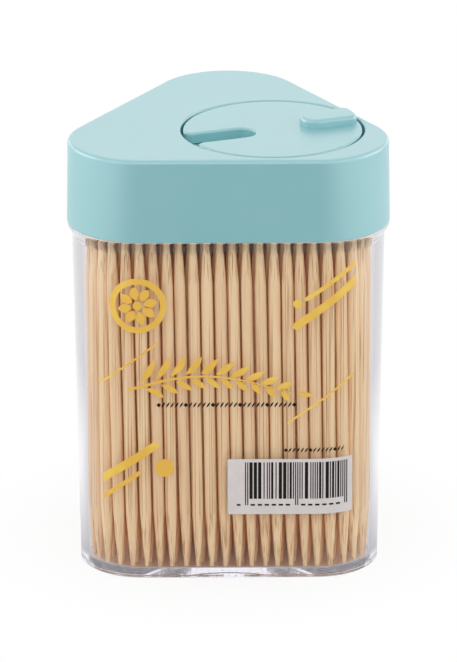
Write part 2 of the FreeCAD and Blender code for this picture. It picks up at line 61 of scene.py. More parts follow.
MERGED = 1e-4           # points nearer than this are one
INTO = 0.5              # how far joined shapes reach into each other
PAST = 1.0              # how far a cutting shape reaches past what it cuts
MASK = (0.0, 1.0)       # values of a mask, off and on
GRAIN_SPAN = (0.3, 0.7)     # values that carry nearly all of a noise

Colour = tuple[int, int, int]
Point = tuple[float, float]
Span = tuple[float, float]


class Body(Enum):
    """Moving bodies of the dispenser."""

    CANISTER = "canister"
    LID = "lid"
    DIAL = "dial"


class Slot(Enum):
    """Material slots of the record."""

    CLEAR = "clear_plastic"
    MINT = "mint_plastic"
    PAPER = "white_label"
    BAMBOO = "bamboo"


class Join(Enum):
    """Ways to combine two solids."""

    UNION = "UNION"
    DIFFERENCE = "DIFFERENCE"


# ---------------------------------------------------------------- mesh helpers

def edges_in(geometry: Iterable) -> list[BMEdge]:
    """Edges among an operator's results."""
    return [part for part in geometry if isinstance(part, BMEdge)]


def verts_in(geometry: Iterable) -> list[BMVert]:
    """Vertices among an operator's results."""
    return [part for part in geometry if isinstance(part, BMVert)]


def everything(bm: BMesh) -> list:
    """All vertices, edges and faces of a mesh."""
    return [*bm.verts, *bm.edges, *bm.faces]


def edges_at(bm: BMesh, height: float) -> list[BMEdge]:
    """Edges that lie level at a height."""
    return [edge for edge in bm.edges if all(abs(vert.co.z - height) < MERGED for vert in edge.verts)]


def to_mesh(bm: BMesh, name: str) -> bpy.types.Mesh:
    """Mesh of a bmesh, which is used up.

    Args:
        bm: Its source; it is used up.
        name: Name of the mesh.

    Returns:
        The mesh.
    """
    mesh = bpy.data.meshes.new(name)
    bm.to_mesh(mesh)
    bm.free()
    return mesh


def put_up(name: str, data: bpy.types.ID) -> bpy.types.Object:
    """Object of a mesh, a lamp or a camera, put in the scene.

    Args:
        name: Name of the object.
        data: What it shows.

    Returns:
        The object, at the origin.
    """
    thing = bpy.data.objects.new(name, data)
    bpy.context.scene.collection.objects.link(thing)
    return thing


def close(bm: BMesh) -> BMesh:
    """Merge doubles, fill open ends and turn all faces outward.

    Args:
        bm: Mesh, changed in place.

    Returns:
        The same mesh.
    """
    bmesh.ops.remove_doubles(bm, verts=bm.verts, dist=MERGED)
    bmesh.ops.holes_fill(bm, edges=[edge for edge in bm.edges if edge.is_boundary])
    bmesh.ops.recalc_face_normals(bm, faces=bm.faces)
    return bm


def chain(bm: BMesh, points: Sequence[Vector]) -> list:
    """Draw an open line of edges.

    Args:
        bm: Mesh to draw in.
        points: Corners of the line, in order.

    Returns:
        The new vertices and edges.
    """
    verts = [bm.verts.new(point) for point in points]
    return verts + [bm.edges.new(pair) for pair in zip(verts, verts[1:])]


def revolve(profile: Sequence[Point], centre: Point = (0, 0), steps: int = 96) -> BMesh:
    """Turn a profile once round an upright axis.

    Args:
        profile: Distance from the axis and height of each point.
        centre: X and Y of the axis.
        steps: Facets of the full turn.

    Returns:
        A closed mesh.
    """
    bm = bmesh.new()
    x, y = centre
    line = chain(bm, [Vector((x + radius, y, height)) for radius, height in profile])
    bmesh.ops.spin(bm, geom=line, cent=(x, y, 0), axis=UP, angle=math.tau, steps=steps, use_merge=True)
    return close(bm)


def cylinder(radius: float, low: float, high: float, centre: Point, steps: int) -> BMesh:
    """Upright cylinder between two heights."""
    return revolve([(0, low), (radius, low), (radius, high), (0, high)], centre, steps)


def block(middle: Sequence[float], size: Sequence[float]) -> BMesh:
    """Upright box.

    Args:
        middle: Its middle.
        size: Its three sides.

    Returns:
        A closed mesh.
    """
    bm = bmesh.new()
    bmesh.ops.create_cube(bm, size=1, matrix=Matrix.LocRotScale(middle, None, size))
    return bm


def arc(centre: Point, radius: float, start: float, turn: float, steps: int = 6) -> list[Point]:
    """Points of an arc in a profile, its ends included.

    Args:
        centre: Middle of the arc.
        radius: Its radius.
        start: Direction of the first point, in degrees.
        turn: Degrees to the last point, positive counter-clockwise.
        steps: Chords.

    Returns:
        The points, in order.
    """
    angles = [math.radians(start + turn * step / steps) for step in range(steps + 1)]
    return [(centre[0] + radius * math.cos(a), centre[1] + radius * math.sin(a)) for a in angles]


@dataclass(frozen=True)
class Straight:
    """Straight part of an outline, to an end point."""

    end: Point


@dataclass(frozen=True)
class Round:
    """Arc of an outline: its centre and its turn in degrees, positive counter-clockwise."""

    centre: Point
    turn: float
    steps: int = 16


def trace(start: Point, moves: Sequence[Straight | Round], height: float = 0) -> BMesh:
    """Draw a closed outline and fill it with one flat face.

    Args:
        start: First point.
        moves: Parts of the outline, the last of which comes back to the start or is closed by a line.
        height: Z of the face.

    Returns:
        A mesh of one face that looks up.
    """
    bm = bmesh.new()
    pen = bm.verts.new((*start, height))
    for move in moves:
        if isinstance(move, Round):
            swept = bmesh.ops.spin(bm, geom=[pen], cent=(*move.centre, height), axis=UP,
                                   angle=math.radians(move.turn), steps=move.steps)
            pen = verts_in(swept["geom_last"])[0]
        else:
            grown = bmesh.ops.extrude_vert_indiv(bm, verts=[pen])
            pen = grown["verts"][0]
            pen.co = (*move.end, height)
    bmesh.ops.remove_doubles(bm, verts=bm.verts, dist=MERGED)
    ends = [vert for vert in bm.verts if len(vert.link_edges) == 1]
    if ends:
        bm.edges.new(ends)
    bmesh.ops.edgeloop_fill(bm, edges=bm.edges)
    bm.normal_update()
    if next(iter(bm.faces)).normal.z < 0:
        bmesh.ops.reverse_faces(bm, faces=bm.faces)
    return bm


def raise_flat(bm: BMesh, height: float) -> None:
    """Give flat faces a thickness upwards.

    Args:
        bm: Mesh of flat faces, changed in place.
        height: Thickness.
    """
    grown = bmesh.ops.extrude_face_region(bm, geom=list(bm.faces))["geom"]
    bmesh.ops.translate(bm, verts=verts_in(grown), vec=UP * height)
    bmesh.ops.recalc_face_normals(bm, faces=bm.faces)


def round_edges(bm: BMesh, edges: Iterable[BMEdge], radius: float, segments: int = 4) -> None:
    """Round edges of a mesh.

    Args:
        bm: Mesh, changed in place.
        edges: Edges to round.
        radius: Distance that the rounding takes from each face.
        segments: Facets across the rounding.
    """
    bmesh.ops.bevel(bm, geom=list(edges), offset=radius, offset_type="OFFSET", segments=segments,
                    profile=0.5, affect="EDGES", material=-1, clamp_overlap=False)


def turned(bm: BMesh, degrees: float, centre: Point) -> BMesh:
    """Turn a mesh about the origin's upright axis, then move that axis to a centre.

    Args:
        bm: Mesh, changed in place.
        degrees: Turn, positive counter-clockwise from above.
        centre: Where the origin goes.

    Returns:
        The same mesh.
    """
    place = Matrix.Translation((*centre, 0)) @ Matrix.Rotation(math.radians(degrees), 4, "Z")
    bmesh.ops.transform(bm, matrix=place, verts=bm.verts)
    return bm


def combine(base: BMesh, tool: BMesh, join: Join) -> BMesh:
    """Join two closed solids, or cut one with the other.

    Args:
        base: First solid; it is used up.
        tool: Second solid; it is used up.
        join: What to do with them.

    Returns:
        The new solid.
    """
    pair = [put_up(name, to_mesh(bm, name)) for name, bm in (("base", base), ("tool", tool))]
    modifier = pair[0].modifiers.new("combine", "BOOLEAN")
    modifier.operation = join.value
    modifier.solver = "EXACT"
    modifier.object = pair[1]
    depsgraph = bpy.context.evaluated_depsgraph_get()
    result = bpy.data.meshes.new_from_object(pair[0].evaluated_get(depsgraph))
    made = bmesh.new()
    made.from_mesh(result)
    for thing in pair:
        mesh = thing.data
        bpy.data.objects.remove(thing)
        bpy.data.meshes.remove(mesh)
    bpy.data.meshes.remove(result)
    return made


def finished_piece(bm: BMesh, name: str, material: bpy.types.Material, body: Body,
                   sharp: float = 35, even: bool = True) -> bpy.types.Object:
    """Turn a mesh in millimetres into a piece of the dispenser.

    Args:
        bm: Closed mesh; it is used up.
        name: Name of the piece.
        material: Its finish.
        body: What it rides on.
        sharp: Edges that turn by more than this many degrees stay sharp.
        even: Whether large faces set the shading next to small ones.

    Returns:
        The piece.
    """
    bmesh.ops.scale(bm, vec=(MILLIMETRE,) * 3, verts=bm.verts)
    mesh = to_mesh(bm, name)
    mesh.materials.append(material)
    mesh.shade_smooth()
    mesh.set_sharp_from_angle(angle=math.radians(sharp))
    piece = put_up(name, mesh)
    if even:
        weighting = piece.modifiers.new("even_shading", "WEIGHTED_NORMAL")
        weighting.keep_sharp = True
    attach(piece, body.value)
    LOG.info("%s: %d faces, rides on %s", name, len(mesh.polygons), body.value)
    return piece


# ---------------------------------------------------------------- plan and wall

@dataclass(frozen=True)
class Plan:
    """Rounded-triangle plan that the canister, the lid and the toothpick layers share."""

    spacing: float = 30.9

    @property
    def half_spacing(self) -> float:
        """From the front's middle to the end of its flat."""
        return self.spacing / 2

    @property
    def half_depth(self) -> float:
        """From the origin to the line of the front corner centres."""
        return self.spacing * math.sqrt(3) / 4

    @property
    def middle(self) -> Vector:
        """Centre of the triangle."""
        return Vector((0, -self.half_depth / 3, 0))

    @property
    def centres(self) -> list[Vector]:
        """Centres of the corner arcs: left, right, back.

        Returns:
            The three points, on the ground.
        """
        front = -self.half_depth
        return [Vector((-self.half_spacing, front, 0)), Vector((self.half_spacing, front, 0)),
                Vector((0, self.half_depth, 0))]

    def sweep(self, profile: Sequence[Point], steps: int = 32) -> BMesh:
        """Carry a profile once round the plan.

        Args:
            profile: Corner radius and height of each point; the two ends are filled across.
            steps: Facets of each corner.

        Returns:
            A closed mesh.
        """
        bm = bmesh.new()
        back_left = math.radians(150)
        way = Vector((math.cos(back_left), math.sin(back_left), 0))
        line = chain(bm, [self.centres[0] + way * radius + UP * height for radius, height in profile])
        for corner, centre in enumerate(self.centres):
            bent = bmesh.ops.spin(bm, geom=line, cent=centre, axis=UP, angle=CORNER_TURN, steps=steps)
            grown = bmesh.ops.extrude_edge_only(bm, edges=edges_in(bent["geom_last"]))["geom"]
            along = self.centres[(corner + 1) % CORNERS] - centre
            bmesh.ops.translate(bm, verts=verts_in(grown), vec=along)
            line = verts_in(grown) + edges_in(grown)
        return close(bm)


@dataclass(frozen=True)
class Wall:
    """Outer wall of the canister: it leans out from the foot to the collar."""

    plan: Plan
    foot_radius: float = 11.57
    top_radius: float = 12.6
    top: float = 62.28

    def radius(self, height: float) -> float:
        """Corner radius of the wall at a height."""
        return self.foot_radius + (self.top_radius - self.foot_radius) * height / self.top

    def place(self, along: float, height: float, lift: float) -> Vector:
        """Point over the wall.

        Args:
            along: Distance along the wall from the front's middle, positive to the right.
            height: Height over the ground.
            lift: Distance out of the wall.

        Returns:
            The point.
        """
        radius = self.radius(height)
        side = math.copysign(1, along)
        past = max(abs(along) - self.plan.half_spacing, 0)
        angle = side * past / radius
        centre = side * min(abs(along), self.plan.half_spacing)
        reach = radius + lift
        return Vector((centre + reach * math.sin(angle),
                       -self.plan.half_depth - reach * math.cos(angle), height))

    def wrap(self, bm: BMesh, facet: float = 0.8) -> None:
        """Bend flat work in X = along, Y = height, Z = lift round the wall.

        Args:
            bm: Flat mesh, changed in place.
            facet: Width of the facets round a corner.
        """
        cut = self.plan.half_spacing
        while cut < self.plan.half_spacing + self.radius(self.top):
            for side in (-1, 1):
                bmesh.ops.bisect_plane(bm, geom=everything(bm), plane_co=(side * cut, 0, 0),
                                       plane_no=(1, 0, 0))
            cut += facet
        for vert in bm.verts:
            vert.co = self.place(*vert.co)
        bmesh.ops.recalc_face_normals(bm, faces=bm.faces)

    def film(self, bm: BMesh, lift: float, thickness: float) -> BMesh:
        """Lay flat shapes round the wall.

        Args:
            bm: Flat mesh on the unrolled wall, changed in place.
            lift: Distance of its inner side from the wall.
            thickness: What it is given outwards.

        Returns:
            The same mesh.
        """
        bmesh.ops.translate(bm, verts=bm.verts, vec=UP * lift)
        raise_flat(bm, thickness)
        self.wrap(bm)
        return bm


# ---------------------------------------------------------------- finishes

class Nodes:
    """Short way to add and join shader nodes in one tree."""

    def __init__(self, tree: bpy.types.NodeTree) -> None:
        """Keep the tree, emptied."""
        self.tree = tree
        tree.nodes.clear()

    def add(self, kind: str, inputs: dict[str | int, object] | None = None,
            **settings: object) -> bpy.types.Node:
        """Add a node.

        Args:
            kind: Node type, without the word ShaderNode in front.
            inputs: What each named or numbered input reads: another node's output or a value.
            **settings: The node's own settings, made first.

        Returns:
            The node.
        """
        node = self.tree.nodes.new(kind if kind.startswith("NodeGroup") else f"ShaderNode{kind}")
        for key, value in settings.items():
            setattr(node, key, value)
        for key, value in (inputs or {}).items():
            if isinstance(value, bpy.types.NodeSocket):
                self.tree.links.new(value, node.inputs[key])
            else:
                node.inputs[key].default_value = value
        return node

    def maths(self, operation: str, *values: object, clamp: bool = False) -> bpy.types.NodeSocket:
        """Result of a Math node on up to three values."""
        return self.add("Math", dict(enumerate(values)), operation=operation, use_clamp=clamp).outputs[0]

    def spread(self, value: bpy.types.NodeSocket, span: Span, low: object = 0.0,
               high: object = 1.0) -> bpy.types.NodeSocket:
        """Map a span of values to another, clamped."""
        return self.add("MapRange", {"Value": value, "From Min": span[0], "From Max": span[1],
                                     "To Min": low, "To Max": high}).outputs["Result"]

    def mix(self, factor: object, first: object, second: object) -> bpy.types.NodeSocket:
        """Colour mixed from two colours."""
        return self.add("Mix", {0: factor, 6: first, 7: second}, data_type="RGBA").outputs[2]

    def relief(self, height: bpy.types.NodeSocket, strength: float, depth: float) -> bpy.types.NodeSocket:
        """Normal of a fine relief, whose depth is in metres."""
        return self.add("Bump", {"Strength": strength, "Distance": depth, "Height": height}).outputs[0]

    def grain(self, grain_scale: float, patch_scale: float) -> tuple[bpy.types.NodeSocket, ...]:
        """Place the surface grain on Object coordinates.

        Args:
            grain_scale: Fineness of the grain.
            patch_scale: Fineness of the wide patches.

        Returns:
            The grain and the patches.
        """
        place = self.add("TexCoord").outputs["Object"]
        group = self.add("Group", {"Vector": place, "Grain Scale": grain_scale, "Patch Scale": patch_scale},
                         node_tree=surface_grain())
        return group.outputs["Grain"], group.outputs["Patches"]

    def finish(self, shader: bpy.types.Node) -> None:
        """Show a shader on the surface."""
        self.add("OutputMaterial", {"Surface": shader.outputs[0]})


def linear(red: int, green: int, blue: int) -> tuple[float, float, float, float]:
    """Shader colour of an 8-bit display colour.

    Args:
        red: Red, 0 to 255.
        green: Green.
        blue: Blue.

    Returns:
        The colour with an alpha of 1.
    """
    def decode(value: int) -> float:
        """Light of one channel, by the display standard's curve."""
        share = value / 255
        return share / 12.92 if share <= 0.04045 else ((share + 0.055) / 1.055) ** 2.4
    return decode(red), decode(green), decode(blue), 1.0


def new_material(name: str) -> tuple[bpy.types.Material, Nodes]:
    """Empty node material and its nodes.

    Args:
        name: Name of the material.

    Returns:
        The material and its empty node tree.
    """
    material = bpy.data.materials.new(name)
    material.use_nodes = True
    return material, Nodes(material.node_tree)


def surface_grain() -> bpy.types.NodeTree:
    """Node group of moulded and printed surfaces: a fine grain and soft, wide patches.

    Returns:
        The group, made on the first call.
    """
    name = "surface_grain"
    if name in bpy.data.node_groups:
        return bpy.data.node_groups[name]
    tree = bpy.data.node_groups.new(name, "ShaderNodeTree")
    face = tree.interface
    face.new_socket("Vector", in_out="INPUT", socket_type="NodeSocketVector")
    for label, value in (("Grain Scale", 4000.0), ("Patch Scale", 60.0)):
        face.new_socket(label, in_out="INPUT", socket_type="NodeSocketFloat").default_value = value
    for label in ("Grain", "Patches"):
        face.new_socket(label, in_out="OUTPUT", socket_type="NodeSocketFloat")
    nodes = Nodes(tree)
    given = nodes.add("NodeGroupInput")
    grain = nodes.add("TexNoise", {"Vector": given.outputs["Vector"], "Scale": given.outputs["Grain Scale"],
                                   "Detail": 2.0, "Roughness": 0.6})
    patches = nodes.add("TexNoise", {"Vector": given.outputs["Vector"], "Scale": given.outputs["Patch Scale"],
                                     "Detail": 3.0})
    nodes.add("NodeGroupOutput", {"Grain": grain.outputs["Fac"], "Patches": patches.outputs["Fac"]})
    return tree


@dataclass(frozen=True, kw_only=True)
class Grained:
    """Opaque finish with a fine grain in its gloss and surface, and a colour that varies in patches.

    Attributes:
        name: Name of the material.
        colour: Its colour.
        shade: The colour that it turns into in patches.
        shade_span: Values of the patches between its colour and the shade.
        grain_scale: Fineness of the grain.
        patch_scale: Fineness of the patches.
        roughness: Roughness of the surface.
        gloss_spread: What the grain adds to the roughness, from its low to its high spots.
        relief: Strength of the grain in the surface.
        relief_depth: Depth of the grain in metres.
        metallic: Share of metal.
        ior: Index of refraction.
        specular: Level of the mirrored light, 0.5 for what the index gives.
    """

    name: str
    colour: Colour
    shade: Colour
    shade_span: Span
    grain_scale: float
    patch_scale: float
    roughness: float
    gloss_spread: Span
    relief: float
    relief_depth: float
    metallic: float = 0.0
    ior: float = 1.5
    specular: float = 0.5

    def shaded(self, nodes: Nodes, grain: bpy.types.NodeSocket,
               patches: bpy.types.NodeSocket) -> bpy.types.NodeSocket:
        """Value that turns the colour into the shade."""
        return patches

    def material(self) -> bpy.types.Material:
        """Build the material.

        Returns:
            The material.
        """
        material, nodes = new_material(self.name)
        grain, patches = nodes.grain(self.grain_scale, self.patch_scale)
        uneven = nodes.spread(self.shaded(nodes, grain, patches), self.shade_span)
        gloss = (self.roughness + change for change in self.gloss_spread)
        nodes.finish(nodes.add("BsdfPrincipled", {
            "Base Color": nodes.mix(uneven, linear(*self.colour), linear(*self.shade)),
            "Roughness": nodes.spread(grain, GRAIN_SPAN, *gloss),
            "Normal": nodes.relief(grain, self.relief, self.relief_depth),
            "Metallic": self.metallic, "IOR": self.ior, "Specular IOR Level": self.specular}))
        return material


@dataclass(frozen=True, kw_only=True)
class SatinPlastic(Grained):
    """Moulded opaque plastic with a fine satin texture."""

    shade_span: Span = (0.35, 0.65)
    grain_scale: float = 3600
    patch_scale: float = 55
    roughness: float = 0.31
    gloss_spread: Span = (-0.01, 0.012)
    relief: float = 0.015
    relief_depth: float = 2e-5
    ior: float = 1.8
    specular: float = 1.0


@dataclass(frozen=True, kw_only=True)
class Foil(Grained):
    """Hot-stamped gold foil: brushed-out gloss and a slightly uneven gold."""

    name: str = "gold_foil"
    colour: Colour = (253, 214, 102)
    shade: Colour = (246, 196, 84)
    shade_span: Span = (0.38, 0.56)
    grain_scale: float = 5200
    patch_scale: float = 140
    roughness: float = 0.35
    gloss_spread: Span = (-0.06, 0.1)
    relief: float = 0.15
    relief_depth: float = 1e-5
    metallic: float = 0.12


@dataclass(frozen=True, kw_only=True)
class Printed(Grained):
    """Flat printed surface, such as label paper or ink, mottled where grain and patches meet."""

    shade_span: Span = (0.12, 0.42)
    grain_scale: float = 2600
    patch_scale: float = 420
    roughness: float = 0.5
    gloss_spread: Span = (-0.08, 0.08)
    relief: float = 0.2
    relief_depth: float = 1.5e-5
    ior: float = 1.45
    specular: float = 0.3

    def shaded(self, nodes: Nodes, grain: bpy.types.NodeSocket,
               patches: bpy.types.NodeSocket) -> bpy.types.NodeSocket:
        """Grain and patches, one times the other."""
        return nodes.maths("MULTIPLY", grain, patches)


@dataclass(frozen=True)
class ClearPlastic:
    """Clear styrene with faint handling marks in its gloss; it lets lamps through to what it holds."""

    name: str = "clear_styrene"
    tint: Colour = (252, 251, 254)
    ior: float = 1.57
    grain_scale: float = 900
    mark_scale: float = 90
    mark_span: Span = (0.4, 0.75)
    gloss: Span = (0.002, 0.02)

    def material(self) -> bpy.types.Material:
        """Build the material: smooth glass, and nothing at all for lamps and scattered light.

        Returns:
            The material.
        """
        material, nodes = new_material(self.name)
        marks = nodes.grain(self.grain_scale, self.mark_scale)[1]
        glass = nodes.add("BsdfPrincipled", {
            "Base Color": linear(*self.tint), "Roughness": nodes.spread(marks, self.mark_span, *self.gloss),
            "IOR": self.ior, "Transmission Weight": 1.0})
        open_way = nodes.add("BsdfTransparent", {"Color": (1, 1, 1, 1)})
        path = nodes.add("LightPath").outputs
        lamps = nodes.maths("MAXIMUM", path["Is Shadow Ray"], path["Is Diffuse Ray"])
        nodes.finish(nodes.add("MixShader", {0: lamps, 1: glass.outputs[0], 2: open_way.outputs[0]}))
        return material


@dataclass(frozen=True)
class Fibres:
    """Noise drawn out along the wood: its fineness across and along, and its detail."""

    across: float
    along: float
    detail: float

    def noise(self, nodes: Nodes, place: bpy.types.NodeSocket,
              shift: bpy.types.NodeSocket) -> bpy.types.NodeSocket:
        """The noise at a place, another one for every shift.

        Args:
            nodes: Nodes of the wood.
            place: Object coordinates.
            shift: Value that picks another stretch of noise.

        Returns:
            Values from 0 to 1.
        """
        drawn = nodes.add("Mapping", {"Vector": place, "Scale": (self.across, self.across, self.along)})
        return nodes.add("TexNoise", {"Vector": drawn.outputs[0], "W": shift, "Scale": 1.0,
                                      "Detail": self.detail, "Roughness": 0.55},
                         noise_dimensions="4D").outputs["Fac"]


@dataclass(frozen=True)
class Bamboo:
    """Split and turned bamboo: pale wood with upright fibres, each toothpick in a tone of its own.

    A tone from 0 to 1 goes from pale to tan, and what it has above 1 goes to the inner colour, which is
    painted shade: the inner layers are painted deeper and redder, as shade falls between the toothpicks.
    """

    name: str = "bamboo_wood"
    pale: Colour = (252, 225, 181)
    tan: Colour = (242, 205, 165)
    streak: Colour = (180, 126, 78)
    # inner: painted shade, the deeper and redder colour of the toothpicks inside the bundle, where shade
    # falls between them
    inner: Colour = (242, 190, 140)
    coarse: Fibres = Fibres(1600, 14, 2.0)
    fine: Fibres = Fibres(4400, 26, 1.0)
    shift: float = 41.0
    coarse_share: float = 1.2
    tone_share: float = 0.5
    tone_base: float = -0.35
    wood_span: Span = (0.1, 1.0)
    streak_span: Span = (0.52, 0.70)
    streak_share: float = 0.75
    # tones over which the painted shade of the inner layers comes in
    painted_shade_span: Span = (1.0, 2.0)
    relief: float = 0.35
    relief_depth: float = 5e-5
    gloss: Span = (0.5, 0.68)
    ior: float = 1.45
    specular: float = 0.1

    def material(self) -> bpy.types.Material:
        """Build the material from stretched noise that a tone value shifts on every toothpick.

        Returns:
            The material.
        """
        material, nodes = new_material(self.name)
        place = nodes.add("TexCoord").outputs["Object"]
        tone = nodes.add("Attribute", attribute_name=TONE).outputs["Fac"]
        shift = nodes.maths("MULTIPLY", tone, self.shift)
        coarse, fine = (fibres.noise(nodes, place, shift) for fibres in (self.coarse, self.fine))
        tanned = nodes.maths("MULTIPLY_ADD", tone, self.tone_share, self.tone_base)
        tanned = nodes.spread(nodes.maths("MULTIPLY_ADD", coarse, self.coarse_share, tanned), self.wood_span)
        wood = nodes.mix(tanned, linear(*self.pale), linear(*self.tan))
        streaks = nodes.spread(fine, self.streak_span, 0.0, self.streak_share)
        wood = nodes.mix(streaks, wood, linear(*self.streak))
        nodes.finish(nodes.add("BsdfPrincipled", {
            # the inner layers are mixed towards the painted shade
            "Base Color": nodes.mix(nodes.spread(tone, self.painted_shade_span), wood, linear(*self.inner)),
            "Roughness": nodes.spread(fine, GRAIN_SPAN, *self.gloss),
            "Normal": nodes.relief(fine, self.relief, self.relief_depth),
            "IOR": self.ior, "Specular IOR Level": self.specular}))
        return material


# ---------------------------------------------------------------- canister

@dataclass
class Canister:
    """Clear canister: foot ring, leaning wall, flared collar and the neck that the lid fits on."""

    wall: Wall
    finish: ClearPlastic = field(default_factory=ClearPlastic)
    floor: float = 1.5
    cavity_foot: float = 10.17
    cavity_mouth: float = 11.02
    cavity_round: float = 0.5
    mouth: float = 71.98
    mouth_round: float = 0.3
    neck_radius: float = 11.97
    shoulder: float = 64.78
    shoulder_round: float = 0.2
    collar_radius: float = 13.36
    foot_round: float = 0.25
    foot_width: float = 2.0
    foot_depth: float = 0.12
    notch_width: float = 3.6
    notch_offset: float = 0.8

    def profile(self) -> list[Point]:
        """Section of the wall, from the floor over the mouth and down to the foot.

        Returns:
            Corner radius and height of each point.
        """
        inner, lip = self.cavity_round, self.mouth_round
        points = arc((self.cavity_foot - inner, self.floor + inner), inner, 270, 90)
        points += arc((self.cavity_mouth + lip, self.mouth - lip), lip, 180, -90, 4)
        points += arc((self.neck_radius - lip, self.mouth - lip), lip, 90, -90, 4)
        points.append((self.neck_radius, self.shoulder))
        edge = self.shoulder_round
        points += arc((self.collar_radius - edge, self.shoulder - edge), edge, 90, -90, 4)
        points += self.collar()
        foot = self.foot_round
        points += arc((self.wall.radius(foot) - foot, foot), foot, 0, -90, 6)
        ring = self.wall.foot_radius - self.foot_width
        return points + [(ring, 0), (ring, self.foot_depth)]

    def collar(self, steps: int = 10) -> list[Point]:
        """Flare of the collar, an S-curve down to the wall.

        Args:
            steps: Chords of the curve.

        Returns:
            Corner radius and height of each point.
        """
        start, end = self.shoulder - self.shoulder_round, self.wall.top
        points = []
        for step in range(1, steps + 1):
            share = 1 - step / steps
            height = end + (start - end) * share
            flare = (self.collar_radius - self.wall.top_radius) * share * share * (3 - 2 * share)
            points.append((self.wall.radius(height) + flare, height))
        return points

    def build(self) -> bpy.types.Object:
        """Build the canister and dress it.

        Returns:
            The piece.
        """
        shell = self.wall.plan.sweep(self.profile())
        front = -self.wall.plan.half_depth - self.wall.foot_radius
        notch = block((self.notch_offset, front + self.foot_width / 2, 0),
                      (self.notch_width, self.foot_width + PAST, self.foot_depth * 2))
        piece = finished_piece(combine(shell, notch, Join.DIFFERENCE), "clear_canister",
                               self.finish.material(), Body.CANISTER)
        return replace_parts(piece, "canister")


# ---------------------------------------------------------------- lid and dial

@dataclass(frozen=True)
class Finger:
    """Long shape with one round end at the axis and straight sides towards the rim."""

    start: float
    end: float
    width: float

    def rounded(self, height: float) -> BMesh:
        """Flat shape with both ends round, along +X.

        Args:
            height: Z of the shape.

        Returns:
            A mesh of one face.
        """
        half = self.width / 2
        return trace((self.start + half, -half), (
            Straight((self.end - half, -half)), Round((self.end - half, 0), 180),
            Straight((self.start + half, half)), Round((self.start + half, 0), 180)), height)

    def to_rim(self, height: float, corner: float) -> BMesh:
        """Flat shape whose outer end follows a circle of radius `end` round the axis.

        Args:
            height: Z of the shape.
            corner: Radius of the two outer corners.

        Returns:
            A mesh of one face.
        """
        half = self.width / 2
        side = half - corner
        reach = math.sqrt((self.end - corner) ** 2 - side ** 2)
        swing = math.degrees(math.atan2(side, reach))
        return trace((self.start + half, -half), (
            Straight((reach, -half)), Round((reach, -side), 90 - swing, 8), Round((0, 0), 2 * swing, 6),
            Round((reach, side), 90 - swing, 8), Straight((self.start + half, half)),
            Round((self.start + half, 0), 180)), height)


@dataclass
class Lid:
    """Push-on lid: deep skirt, round recess for the dial and the slot in the recess floor."""

    plan: Plan
    material: bpy.types.Material
    axis: Point = DIAL_AXIS
    rim: float = 64.9
    top: float = 80.2
    rim_radius: float = 13.52
    top_radius: float = 13.25
    inside_radius: float = 12.22
    underside: float = 78.9
    edge_round: float = 0.75
    rim_round: float = 0.15
    recess_radius: float = 16.52
    recess_floor: float = 78.05
    recess_round: float = 0.35
    boss_radius: float = 17.2
    boss_underside: float = 76.75
    hole_radius: float = 2.48
    slot: Finger = Finger(5.0, 15.6, 5.7)
    slot_direction: float = -30

    def shell(self) -> BMesh:
        """Skirt and roof in one.

        Returns:
            A closed mesh.
        """
        low, high = self.rim_round, self.edge_round
        lean = (self.rim_radius - self.top_radius) / (self.top - self.rim)
        points = [(self.inside_radius, self.underside)]
        points += arc((self.inside_radius + low, self.rim + low), low, 180, 90, 3)
        points += arc((self.rim_radius - low, self.rim + low), low, 270, 90, 3)
        points += arc((self.top_radius + lean * high - high, self.top - high), high, 0, 90, 7)
        return self.plan.sweep(points, steps=40)

    def recess(self) -> BMesh:
        """What the recess takes out of the roof, with its rounded edge.

        Returns:
            A closed mesh.
        """
        edge, above = self.recess_round, self.top + PAST
        rounding = arc((self.recess_radius + edge, self.top - edge), edge, 180, -90, 4)
        profile = [(0, self.recess_floor), (self.recess_radius, self.recess_floor), *rounding,
                   (self.recess_radius + edge, above), (0, above)]
        return revolve(profile, self.axis, 144)

    def build(self) -> bpy.types.Object:
        """Build the lid and dress it.

        Returns:
            The piece.
        """
        boss = cylinder(self.boss_radius, self.boss_underside, self.underside + INTO, self.axis, 144)
        solid = combine(self.shell(), boss, Join.UNION)
        solid = combine(solid, self.recess(), Join.DIFFERENCE)
        low, high = self.boss_underside - PAST, self.recess_floor + PAST
        hole = cylinder(self.hole_radius, low, high, self.axis, 48)
        solid = combine(solid, hole, Join.DIFFERENCE)
        slot = self.slot.rounded(low)
        raise_flat(slot, high - low)
        turned(slot, self.slot_direction, self.axis)
        solid = combine(solid, slot, Join.DIFFERENCE)
        piece = finished_piece(solid, "mint_lid", self.material, Body.LID)
        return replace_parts(piece, "lid")


